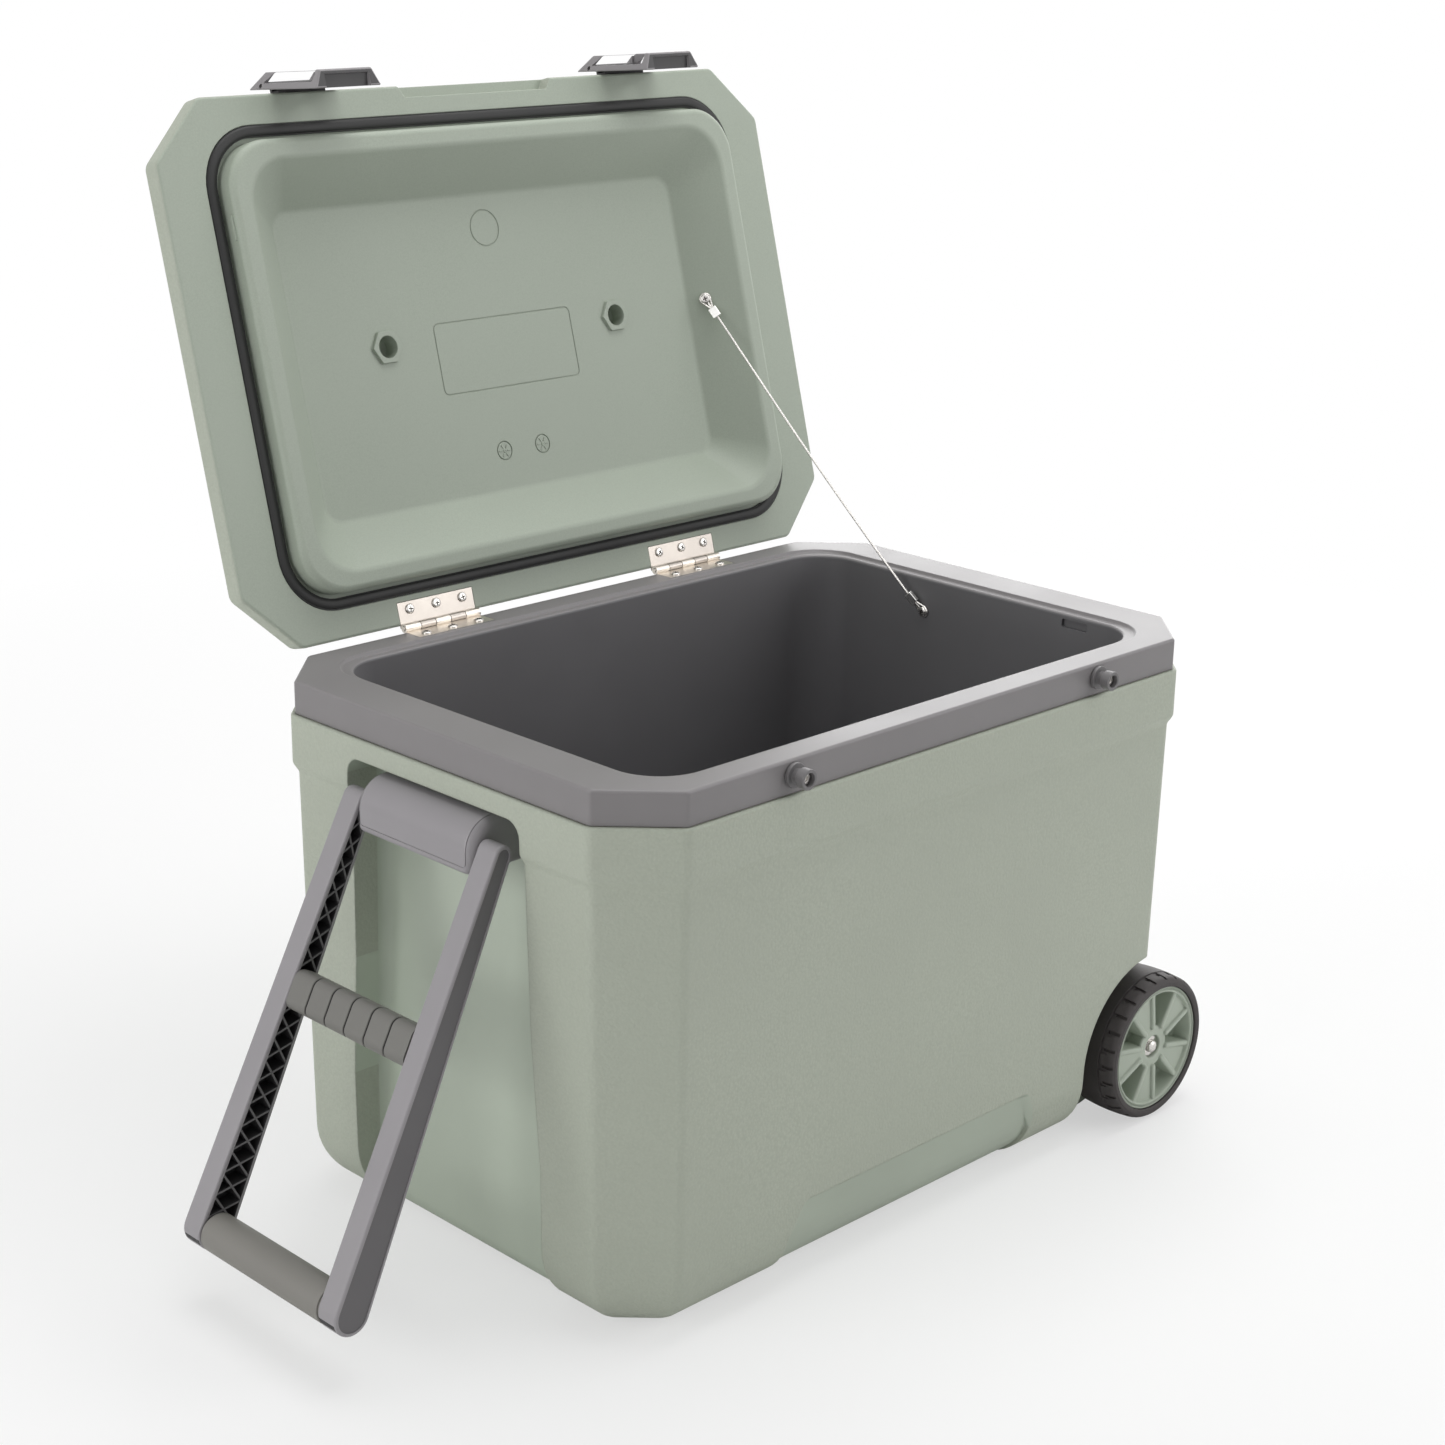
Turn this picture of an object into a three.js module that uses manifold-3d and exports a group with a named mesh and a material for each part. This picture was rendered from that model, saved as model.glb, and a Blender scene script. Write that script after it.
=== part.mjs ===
// Wheeled cooler with its lid standing open on a stay cable.
// Frame: origin on the floor under the middle of the tub, +Z up, +X to the wheel end,
// -X to the pull handle, -Y to the latch side and +Y to the hinge side. Lengths in mm.

import * as THREE from 'three';
import { mergeVertices } from 'three/addons/utils/BufferGeometryUtils.js';
import Module from 'manifold-3d';

const wasm = await Module();
wasm.setup();

// Clearances
const gap = 0.3;             // between pieces that touch
const run = 0.3;             // radial, round turning shafts
const weld = 1e-4;           // points nearer than this are one
const cut = 1;               // how far a cutter runs past a face
const rootIn = 1.5;          // how far a rib or boss sinks into the wall it stands on

// Tub outline and rim
const tubLength = 600;
const tubWidth = 398.7;
const tubHeight = 400;
const cornerChamfer = 44;
const edgeRound = 9;
const rimHeight = 24;
const rimBevel = 2.2;
const rimEndWidth = 45;
const rimSideWidth = 30.35;
const mouthRadius = 36;
const mouthDraft = 1;
const ledgeWidth = 8;
const ledgeRadius = 40;
const ledgeDepth = 2.4;

// Tub walls
const collarOut = 3.2;
const collarDepth = 60.3;
const collarFoot = 70;
const wallIn = 0.9;
const footIn = 4.2;
const footRadius = 54;
const skin = 3.4;
const linerWall = 3;
const linerDraft = 7;
const cavityFloorHeight = 40;
const cavityFloorRadius = 14;
const shelfWall = 19;
const shelfFoam = 15;

// Panel sunk into the foot of each long side
const footPanelInset = 4.6;
const footPanelRise = 1.6;
const footPanelReach = 67.35;
const footPanelHeight = 65;
const footPanelFlareHeight = 34;
const footPanelTopLeftIn = 173;
const footPanelTopRightIn = 193;
const footPanelLeftIn = 152;
const footPanelRightIn = 180;

// Recess for the pull handle
const recessDeep = 30;
const recessTop = 39;
const recessWaistHeight = 207;
const recessLowHeight = 114;
const recessTopHalf = 91;
const recessWaistHalf = 95;
const recessLowHalf = 102;
const recessFootRadius = 19;

// Handle bracket
const bracketPlate = 6;
const bracketSideGap = 0.8;
const bracketBottom = 104;
const bracketArmGap = 1;
const bracketOut = 20;
const bracketBlockTop = 40.5;
const bracketBlockBottom = 81;
const bracketRound = 15;
const bracketLowRound = 6;
const bracketEndRound = 8;
const bracketSeat = 2;
const bracketWall = 5;
const bracketEndWall = 12;
const cheekThickness = 5.6;
const cheekBottom = 76;
const cheekOut = 2.6;

// Pull handle, measured down the arms from the pivot
const handleTilt = 26.9;
const pivotOut = 8;
const pivotDrop = 63.5;
const armEndRadius = 7.4;
const armInner = 62.6;
const armThickness = 19.1;
const armSplayShare = 0.01464;
const armDepthShare = 0.044;
const armLength = 312.5;
const armWall = 3.2;
const armPocketDepth = 14;
const armRib = 1.6;
const armRibSunk = 0.5;
const gripRadius = 14.4;
const gripInset = 0.2;
const gripBossInset = 3;
const crossbarTop = 122.8;
const crossbarHeight = 28.6;
const crossbarDepth = 20;
const crossbarRound = 7;
const crossbarGroove = 1.4;
const crossbarGrooveWidth = 3;
const pinRadius = 4;
const pinDeep = 9;

// Wheels and axle
const wheelIn = 37;
const wheelRadius = 60;
const wheelOut = 6.65;
const tyreWidth = 46;
const tyreBore = 51.3;
const tyreShoulder = 3;
const treadBlockDepth = 2.2;
const treadBlockWidth = 12;
const treadGroove = 3;
const hubRim = 4.4;
const hubFaceInset = 2;
const hubBossRadius = 12.5;
const hubBossInset = 9;
const hubWeb = 3;
const hubWebInset = 17;
const hubSideGap = 1;
const spokeWidth = 3.6;
const spokeDepth = 14;
const spokeSpread = 5.2;
const spokeProud = 2;
const axleRadius = 5;
const axleEndInset = 2.5;
const clipRadius = 8.6;
const clipThickness = 2;
const archBack = 3;
const archRadius = 79;
const archRise = 4;
const archSideGap = 8;

// Latch studs
const studIn = 139;
const studDrop = 11;
const studBaseRadius = 8.85;
const studBase = 3;
const studNeckRadius = 5.2;
const studNeck = 4.6;
const studCapRadius = 7.2;
const studReach = 14.6;
const studHollowRadius = 4.7;
const studHollow = 6.6;
const studScrewHead = 3.8;
const studScrewHeadHeight = 3;
const studScrewRadius = 2;
const studScrewGrip = 9;

// Lid hinges
const lidOpen = 105.13;
const hingeOut = 2.25;
const hingeRise = 2.2;
const hingeToLid = 3;
const hingeEndIn = 134.6;
const hingeLength = 72.2;
const knuckleRadius = 3.3;
const hingePinRadius = 1.6;
const hingePinEnd = 0.6;
const leafThickness = 1.2;
const leafReach = 19.4;
const leafScrewInset = 13.6;
const leafScrewSpread = 25.3;
const screwHeadRadius = 3.6;
const screwHeadProud = 0.7;
const screwRadius = 1.7;
const screwGrip = 10;

// Lid
const lidEndIn = 0.4;
const lidSideOut = 0.15;
const lidSide = 15;
const lidHeight = 38;
const lidBevel = 23;
const lidSkin = 3;
const gasketEndOut = 6.6;
const gasketSideOut = 8.3;
const gasketWidth = 8.5;
const gasketRadius = 46;
const gasketProud = 1.6;
const gasketDeep = 2.8;
const plugEndIn = 4.4;
const plugSideIn = 3.6;
const plugDepth = 14.9;
const plugRadius = 36;
const plugFlare = 1;
const plugEdge = 4;
const flangeEndOut = 8;
const flangeSideOut = 1;
const pocketEndIn = 18.4;
const pocketSideIn = 17.4;
const pocketRadius = 34;
const pocketSlope = 31.9;
const pocketFloorRadius = 14;
const pocketFloor = 18.9;
const pocketLip = 3;
const portX = 117;
const portY = -8;
const portRadius = 14;
const portHeight = 2.6;
const portHole = 5;
const portWall = 3;
const portHoleDepth = 4;
const grabHalf = 76;
const grabFloorHalf = 70;
const grabInset = 9;
const grabDepth = 9;
const tabIn = 94.5;
const tabHalf = 9;
const tabReach = 1.6;
const tabRoot = 4;
const tabThickness = 2;
const tabDrop = 8.6;
const slotHalf = 12.5;
const slotHeight = 7;
const slotDrop = 5.5;
const slotDeep = 3.4;

// Latches, hung on a pin below the lid's edge
const latchFlop = 10.4;
const latchPinUp = 15;
const latchPinOut = 7.5;
const latchInner = 2.6;
const latchOuter = 10.5;
const latchRail = 2;
const latchHeel = 14.3;
const latchHeelSlope = 15.5;
const latchEar = 16.5;
const latchEarSlope = 2;
const latchLength = 69.7;
const latchEndSlope = 2.9;
const latchHalfInner = 29.5;
const latchHalfOuter = 23.3;
const latchWall = 4;
const latchTrayIn = 2;
const latchFloor = 2.6;
const latchLip = 4.2;
const latchLipWall = 3.4;
const latchLipSlope = 1;
const latchPinRadius = 1.5;
const latchPinInset = 2.5;
const latchHole = 7.8;
const baseHalf = 21;
const baseKnuckle = 2.9;
const baseTop = 14.6;
const baseBottom = 4;
const basePlate = 2.2;
const baseRun = 1.6;

// Stay cable between the lid's pocket and the tub's right wall
const cableRadius = 1;
const cableSag = 5;
const cableLead = 11;
const leadLiftShare = 0.3;
const eyeInner = 2.4;
const eyeOuter = 4.6;
const eyeThickness = 2.2;
const sleeveRadius = 2.4;
const sleeveLength = 12;
const sleeveStart = 3;
const stayScrewHead = 3.6;
const stayScrewHeadHeight = 2.2;
const stayScrewRadius = 1.9;
const stayScrewGrip = 4;
const stayWallIn = 1;
const stayFoamHole = 3;
const lidEyeDownShare = 0.8233;
const lidEyeBack = 210;
const tubEyeIn = 120.5;
const tubEyeDrop = 30;

// Repeats and shares
const knuckleCount = 5;
const armRibCount = 18;
const crossbarSegments = 6;
const treadBlocks = 24;
const spokePairs = 9;
const spokeTurnShare = 0.09;
const floorStepShare = 0.3;
const slotLongShare = 0.62;
const slotWideShare = 0.16;

// Fineness of round forms
const fine = 32;
const medium = 16;
const coarse = 8;
const hexagon = 6;
const footSteps = 6;
const recessFootSteps = 4;
const crossbarRoundSteps = 3;
const cornerSteps = 2;
const mouthSteps = 5;
const noseSteps = 6;
const noseLowSteps = 3;
const armTopSteps = 8;
const armFootSteps = 10;
const cableSides = 6;
const cableSteps = 14;

// Derived places
const rimTop = tubHeight;
const halfLength = tubLength / 2;
const halfWidth = tubWidth / 2;
const mouthHalfLength = halfLength - rimEndWidth;
const mouthHalfWidth = halfWidth - rimSideWidth;
const ledgeHalfLength = mouthHalfLength + ledgeWidth;
const ledgeHalfWidth = mouthHalfWidth + ledgeWidth;
const cavityDepth = tubHeight - cavityFloorHeight;
const recessFloorX = recessDeep - halfLength;
const bracketFrontX = -halfLength - bracketOut;
const cheekFrontX = -halfLength - cheekOut;
const pivotX = -halfLength - pivotOut;
const pivotZ = rimTop - pivotDrop;
const bracketBlockHalf = armInner - bracketArmGap;
const bracketHalf = recessTopHalf - bracketSideGap;
const cheekInner = bracketHalf - cheekThickness;
const wheelX = halfLength - wheelIn;
const wheelFace = halfWidth + wheelOut;
const archX = wheelX - archBack;
const archTopZ = wheelRadius + archRadius + archRise;
const archInner = wheelFace - tyreWidth - archSideGap;
const shelfStart = archX - archRadius - shelfWall + linerWall;
const shelfZ = archTopZ + shelfFoam;
const studX = halfLength - studIn;
const hingeOuter = halfLength - hingeEndIn;
const hingeInner = hingeOuter - hingeLength;
const hingeY = halfWidth + hingeOut;
const hingeZ = rimTop + hingeRise;
const lidHalfLength = halfLength - lidEndIn;
const lidHalfWidth = halfWidth + lidSideOut;
const lidUnder = hingeZ + hingeToLid;
const lidTop = lidUnder + lidHeight;
const gasketOuterHalf = mouthHalfLength + gasketEndOut;
const gasketWidthHalf = mouthHalfWidth + gasketSideOut;
const plugHalfLength = mouthHalfLength - plugEndIn;
const plugHalfWidth = mouthHalfWidth - plugSideIn;
const pocketHalfLength = plugHalfLength - pocketEndIn;
const pocketHalfWidth = plugHalfWidth - pocketSideIn;
const pocketFloorHalfLength = pocketHalfLength - pocketSlope;
const pocketFloorHalfWidth = pocketHalfWidth - pocketSlope;
const tabY = tabIn - lidHalfWidth;
const tubEyeY = mouthHalfWidth - tubEyeIn;
const octagonShare = 2 - Math.SQRT2;

const materials = {
  green: new THREE.MeshStandardMaterial({ color: 0xa0aa9c, roughness: 0.6, metalness: 0 }),
  grey: new THREE.MeshStandardMaterial({ color: 0x7c7a7b, roughness: 0.55, metalness: 0 }),
  dark: new THREE.MeshStandardMaterial({ color: 0x4c4b4b, roughness: 0.6, metalness: 0 }),
  foam: new THREE.MeshStandardMaterial({ color: 0xe9e2c4, roughness: 0.9, metalness: 0 }),
  rubber: new THREE.MeshStandardMaterial({ color: 0x2c2c2c, roughness: 0.7, metalness: 0 }),
  tyre: new THREE.MeshStandardMaterial({ color: 0x3a3838, roughness: 0.75, metalness: 0 }),
  steel: new THREE.MeshStandardMaterial({ color: 0xc9c6c2, roughness: 0.3, metalness: 1 }),
};

const cooler = new THREE.Group();

// Solids
function toSolid(geometry) {
  const plain = geometry.index ? geometry.toNonIndexed() : geometry.clone();
  plain.deleteAttribute('normal');
  plain.deleteAttribute('uv');
  const merged = mergeVertices(plain, weld);
  return new wasm.Manifold(new wasm.Mesh({
    numProp: 3,
    vertProperties: new Float32Array(merged.attributes.position.array),
    triVerts: new Uint32Array(merged.index.array),
  }));
}

function toGeometry(solid) {
  const mesh = solid.getMesh();
  const geometry = new THREE.BufferGeometry();
  const positions = [];
  for (let i = 0; i < mesh.vertProperties.length; i += mesh.numProp) {
    positions.push(...mesh.vertProperties.slice(i, i + 3));
  }
  geometry.setAttribute('position', new THREE.Float32BufferAttribute(positions, 3));
  geometry.setIndex([...mesh.triVerts]);
  const flat = geometry.toNonIndexed();
  flat.computeVertexNormals();
  return flat;
}

function add(name, solid, material, parent = cooler) {
  const mesh = new THREE.Mesh(toGeometry(solid), materials[material]);
  mesh.name = name;
  parent.add(mesh);
  return mesh;
}

function moved(solid, matrix) {
  return toSolid(toGeometry(solid).applyMatrix4(matrix));
}

function shifted(solid, x, y, z) {
  return moved(solid, new THREE.Matrix4().makeTranslation(x, y, z));
}

function mirroredY(solid) {
  const geometry = toGeometry(solid);
  const position = geometry.attributes.position;
  for (let i = 0; i < position.count; i += 3) {
    const last = new THREE.Vector3().fromBufferAttribute(position, i + 2);
    position.setXYZ(i + 2, position.getX(i + 1), position.getY(i + 1), position.getZ(i + 1));
    position.setXYZ(i + 1, last.x, last.y, last.z);
  }
  for (let i = 0; i < position.count; i += 1) {
    position.setY(i, -position.getY(i));
  }
  return toSolid(geometry);
}

// A solid through rings of points, every ring with the same number of points
function loft(rings) {
  const count = rings[0].length;
  const positions = [];
  const put = (a, b, c) => {
    positions.push(a.x, a.y, a.z, b.x, b.y, b.z, c.x, c.y, c.z);
  };
  for (let i = 0; i + 1 < rings.length; i += 1) {
    for (let j = 0; j < count; j += 1) {
      const k = (j + 1) % count;
      put(rings[i][j], rings[i][k], rings[i + 1][k]);
      put(rings[i][j], rings[i + 1][k], rings[i + 1][j]);
    }
  }
  const last = rings[rings.length - 1];
  for (let j = 1; j + 1 < count; j += 1) {
    put(rings[0][0], rings[0][j + 1], rings[0][j]);
    put(last[0], last[j], last[j + 1]);
  }
  const geometry = new THREE.BufferGeometry();
  geometry.setAttribute('position', new THREE.Float32BufferAttribute(positions, 3));
  const solid = toSolid(geometry);
  return solid.volume() < 0 ? toSolid(turnedInsideOut(geometry)) : solid;
}

function turnedInsideOut(geometry) {
  const flipped = geometry.clone();
  const position = flipped.attributes.position;
  for (let i = 0; i < position.count; i += 3) {
    const last = new THREE.Vector3().fromBufferAttribute(position, i + 2);
    position.setXYZ(i + 2, position.getX(i + 1), position.getY(i + 1), position.getZ(i + 1));
    position.setXYZ(i + 1, last.x, last.y, last.z);
  }
  return flipped;
}

// Convex outline through corner points, each corner rounded, as flat points
function rounded(corners, radius, steps) {
  const points = [];
  corners.forEach((corner, i) => {
    const before = corners[(i + corners.length - 1) % corners.length];
    const after = corners[(i + 1) % corners.length];
    const toBefore = before.clone().sub(corner).normalize();
    const toAfter = after.clone().sub(corner).normalize();
    const half = Math.acos(toBefore.dot(toAfter)) / 2;
    const reach = radius / Math.tan(half);
    const bisector = toBefore.clone().add(toAfter).normalize();
    const hand = toBefore.cross(toAfter) < 0 ? 1 : -1;
    const centre = corner.clone().add(bisector.multiplyScalar(radius / Math.sin(half)));
    const start = corner.clone().add(toBefore.multiplyScalar(reach)).sub(centre);
    const turn = Math.PI - 2 * half;
    for (let s = 0; s <= steps; s += 1) {
      const angle = hand * turn * (s / steps);
      const spoke = start.clone().rotateAround(new THREE.Vector2(), angle);
      points.push(centre.clone().add(spoke));
    }
  });
  return points;
}

function octagon(x, y, chamfer, radius = edgeRound, steps = cornerSteps) {
  const corners = [
    [x, -(y - chamfer)], [x, y - chamfer], [x - chamfer, y], [-(x - chamfer), y],
    [-x, y - chamfer], [-x, -(y - chamfer)], [-(x - chamfer), -y], [x - chamfer, -y],
  ];
  return rounded(corners.map((c) => new THREE.Vector2(...c)), radius, steps);
}

function rectangle(x, y, radius, steps = mouthSteps) {
  const corners = [[x, -y], [x, y], [-x, y], [-x, -y]];
  return rounded(corners.map((c) => new THREE.Vector2(...c)), radius, steps);
}

const atZ = (outline, z) => outline.map((p) => new THREE.Vector3(p.x, p.y, z));

function box(x0, x1, y0, y1, z0, z1) {
  const geometry = new THREE.BoxGeometry(x1 - x0, y1 - y0, z1 - z0);
  geometry.translate((x0 + x1) / 2, (y0 + y1) / 2, (z0 + z1) / 2);
  return toSolid(geometry);
}

// Cylinder from a to b along a row axis
function cylinder(radius, axis, a, b, centre, sides = medium, endRadius = radius) {
  const geometry = new THREE.CylinderGeometry(endRadius, radius, b - a, sides);
  geometry.translate(0, (a + b) / 2, 0);
  if (axis === 'x') geometry.rotateZ(-Math.PI / 2);
  if (axis === 'z') geometry.rotateX(Math.PI / 2);
  geometry.translate(...centre);
  return toSolid(geometry);
}

// Profile in a plane, pushed along the third axis from a to b
function prism(points, a, b, axis) {
  const geometry = new THREE.ExtrudeGeometry(new THREE.Shape(points), {
    depth: b - a, bevelEnabled: false, steps: 1, curveSegments: 1,
  });
  geometry.translate(0, 0, a);
  const basis = new THREE.Matrix4();
  const [x, y, z] = [0, 1, 2].map((i) => new THREE.Vector3().setComponent(i, 1));
  if (axis === 'y') basis.makeBasis(x, z, y);
  if (axis === 'x') basis.makeBasis(y, z, x);
  geometry.applyMatrix4(basis);
  const solid = axis === 'y' ? toSolid(turnedInsideOut(geometry)) : toSolid(geometry);
  return solid;
}

const v2 = (x, y) => new THREE.Vector2(x, y);

// Tub outer form, moved in by a distance and up at its foot
function tubForm(inwards, raise, top) {
  const level = (drop, e) => {
    const offset = e - inwards;
    const chamfer = cornerChamfer + octagonShare * offset;
    const radius = Math.min(edgeRound, Math.max(chamfer, cut));
    return atZ(octagon(halfLength + offset, halfWidth + offset, chamfer, radius), rimTop - drop);
  };
  const rings = [level(top, collarOut)];
  rings.push(level(collarDepth, collarOut));
  rings.push(level(collarFoot, -wallIn));
  const radius = footRadius - inwards;
  for (let i = 0; i <= footSteps; i += 1) {
    const angle = (Math.PI / 2) * (i / footSteps);
    const drop = tubHeight - raise - radius * (1 - Math.sin(angle));
    rings.push(level(drop, -footIn - radius * (1 - Math.cos(angle))));
  }
  return loft(rings);
}

// Handle recess cutter, grown on every side
function recessCutter(grow) {
  const outside = -halfLength - 3 * collarOut;
  const rect = (half, drop, floor) => [
    new THREE.Vector3(outside, -half - grow, rimTop - drop),
    new THREE.Vector3(floor + grow, -half - grow, rimTop - drop),
    new THREE.Vector3(floor + grow, half + grow, rimTop - drop),
    new THREE.Vector3(outside, half + grow, rimTop - drop),
  ];
  const rings = [
    rect(recessTopHalf, recessTop - grow, recessFloorX),
    rect(recessWaistHalf, rimTop - recessWaistHeight, recessFloorX),
    rect(recessLowHalf, rimTop - recessLowHeight, recessFloorX),
  ];
  for (let i = 0; i <= recessFootSteps; i += 1) {
    const angle = (Math.PI / 2) * (i / recessFootSteps);
    const drop = tubHeight - recessFootRadius * (1 - Math.sin(angle));
    rings.push(rect(recessLowHalf, drop, recessFloorX + recessFootRadius * (1 - Math.cos(angle))));
  }
  rings.push(rect(recessLowHalf, tubHeight + cut, recessFloorX + recessFootRadius));
  return loft(rings);
}

// Wheel arch cutter at one corner
function archCutter(side, grow) {
  const centre = [archX, 0, wheelRadius];
  const from = archInner - grow;
  const to = halfWidth + 3 * collarOut;
  const round = cylinder(archRadius + grow, 'y', from, to, centre, fine);
  const open = box(archX, halfLength + 3 * collarOut, from, to, -cut, archTopZ + grow);
  const low = box(archX - archRadius - grow, archX + cut, from, to, -cut, wheelRadius);
  const arch = round.add(open).add(low);
  return side > 0 ? arch : mirroredY(arch);
}

function footPanelCutter(grow) {
  const outline = [
    v2(footPanelTopLeftIn - halfLength - grow, footPanelHeight + grow),
    v2(halfLength - footPanelTopRightIn + grow, footPanelHeight + grow),
    v2(halfLength - footPanelRightIn + grow, footPanelFlareHeight),
    v2(halfLength - footPanelRightIn + grow, -cut),
    v2(footPanelLeftIn - halfLength - grow, -cut),
    v2(footPanelLeftIn - halfLength - grow, footPanelFlareHeight),
  ];
  const reach = halfWidth + 3 * collarOut;
  const keep = tubForm(footPanelInset + grow, footPanelRise + grow, rimHeight);
  const side = prism(outline, halfWidth - footPanelReach - grow, reach, 'y').subtract(keep);
  return side.add(mirroredY(side));
}

const latchSides = [['left', -1], ['right', 1]];
const wheelSides = [['front', -1], ['back', 1]];

// Outer shell
const shellTop = rimHeight + gap;
const axleLine = [wheelX, 0, wheelRadius];
function recesses(grow) {
  return recessCutter(grow).add(archCutter(1, grow)).add(archCutter(-1, grow))
    .add(footPanelCutter(grow));
}
const shellHollow = tubForm(skin, skin, shellTop - cut).subtract(recesses(skin));
const shell = tubForm(0, 0, shellTop).subtract(recesses(0)).subtract(shellHollow)
  .subtract(cylinder(axleRadius + run, 'y', -halfWidth, halfWidth, axleLine));
add('outer_shell', shell, 'green');

// Liner and rim in one piece
function cavityForm(grow, top) {
  const ring = (drop, draft) => atZ(
    rectangle(mouthHalfLength - draft + grow, mouthHalfWidth - draft + grow, mouthRadius + grow),
    rimTop - drop,
  );
  const floor = cavityDepth + grow;
  const rings = [ring(top, 0), ring(rimHeight, mouthDraft)];
  rings.push(ring(floor - cavityFloorRadius, linerDraft));
  const near = cavityFloorRadius * floorStepShare;
  rings.push(ring(floor - near, linerDraft + near));
  rings.push(ring(floor, linerDraft + cavityFloorRadius));
  const shelf = box(shelfStart + grow, halfLength, -halfWidth, halfWidth, 0,
    shelfZ - grow);
  return loft(rings).subtract(shelf);
}
const rimSlab = loft([
  atZ(octagon(halfLength, halfWidth, cornerChamfer), rimTop - rimHeight),
  atZ(octagon(halfLength, halfWidth, cornerChamfer), rimTop - rimBevel),
  atZ(octagon(halfLength - rimBevel, halfWidth - rimBevel, cornerChamfer), rimTop),
]);
const ledge = loft([
  atZ(rectangle(ledgeHalfLength - ledgeDepth, ledgeHalfWidth - ledgeDepth, ledgeRadius),
    rimTop - ledgeDepth),
  atZ(rectangle(ledgeHalfLength, ledgeHalfWidth, ledgeRadius), rimTop + cut),
]);
let liner = rimSlab.add(cavityForm(linerWall, rimHeight - cut)).subtract(ledge)
  .subtract(cavityForm(0, -cut));
latchSides.forEach(([, side]) => {
  const inner = side * (mouthHalfLength - linerWall);
  const outer = side * (mouthHalfLength + slotDeep);
  liner = liner.subtract(box(Math.min(inner, outer), Math.max(inner, outer),
    tabY - slotHalf, tabY + slotHalf,
    rimTop - slotDrop - slotHeight / 2, rimTop - slotDrop + slotHeight / 2));
  liner = liner.subtract(cylinder(studScrewRadius + gap, 'y', -halfWidth - cut,
    -halfWidth + studScrewGrip + gap, [side * studX, 0, rimTop - studDrop], coarse));
});
const leafScrewPlaces = [];
latchSides.forEach(([name, side]) => {
  const middle = side * (hingeInner + hingeOuter) / 2;
  ['a', 'b', 'c'].forEach((letter, i) => {
    leafScrewPlaces.push([name, letter, middle + (i - 1) * leafScrewSpread]);
  });
  const half = (hingeOuter - hingeInner) / 2 + gap;
  liner = liner.subtract(box(middle - half, middle + half, hingeY - leafReach - gap,
    halfWidth + cut, rimTop - leafThickness - gap, rimTop + cut));
  liner = liner.subtract(cylinder(knuckleRadius + gap, 'x', middle - half, middle + half,
    [0, hingeY, hingeZ]));
});
const leafScrewY = hingeY - leafScrewInset;
leafScrewPlaces.forEach(([, , x]) => {
  liner = liner.subtract(cylinder(screwRadius + gap, 'z', rimTop - screwGrip - gap, rimTop,
    [x, leafScrewY, 0], coarse));
});
const stayScrewWallX = mouthHalfLength - stayWallIn;
const tubEyeZ = rimTop - tubEyeDrop;
liner = liner.subtract(cylinder(stayScrewRadius + gap, 'x', stayScrewWallX - stayScrewGrip,
  stayScrewWallX + stayScrewGrip, [0, tubEyeY, tubEyeZ], coarse));
add('inner_liner', liner, 'dark');

// Insulating foam round the liner
const foam = tubForm(skin + gap, skin + gap, shellTop + gap).subtract(recesses(skin + gap))
  .subtract(cavityForm(linerWall + gap, 0))
  .subtract(cylinder(axleRadius + run, 'y', -halfWidth, halfWidth, axleLine))
  .subtract(box(stayScrewWallX, stayScrewWallX + stayScrewGrip + gap, tubEyeY - stayFoamHole,
    tubEyeY + stayFoamHole, tubEyeZ - stayFoamHole, tubEyeZ + stayFoamHole));
add('tub_foam', foam, 'foam');

// Latch studs and their screws
latchSides.forEach(([name, side]) => {
  const place = [side * studX, -halfWidth - gap, rimTop - studDrop];
  let stud = cylinder(studBaseRadius, 'y', -studBase, 0, place);
  stud = stud.add(cylinder(studNeckRadius, 'y', -studBase - studNeck, -studBase / 2, place));
  stud = stud.add(cylinder(studCapRadius, 'y', -studReach, -studBase - studNeck, place));
  stud = stud.subtract(cylinder(studHollowRadius, 'y', -studReach - cut,
    -studReach + studHollow, place, medium));
  stud = stud.subtract(cylinder(studScrewRadius + gap, 'y', -studReach, cut, place, coarse));
  add(`latch_stud_${name}`, stud, 'grey');
  const seat = -studReach + studHollow - gap;
  let screw = cylinder(studScrewHead, 'y', seat - studScrewHeadHeight, seat, place, medium);
  screw = screw.add(cylinder(studScrewRadius, 'y', seat - gap, studScrewGrip, place, coarse));
  screw = screw.subtract(cylinder(studScrewHead / 2, 'y', seat - studScrewHeadHeight - cut,
    seat - studScrewHeadHeight / 2, place, hexagon));
  add(`stud_screw_${name}`, screw, 'steel');
});

// Hinges
const lidGroup = new THREE.Group();
lidGroup.position.set(0, hingeY, hingeZ);
lidGroup.rotation.x = -THREE.MathUtils.degToRad(lidOpen);
cooler.add(lidGroup);
const lidFrame = new THREE.Group();
lidFrame.position.set(0, -hingeY, -hingeZ);
lidGroup.add(lidFrame);

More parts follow.
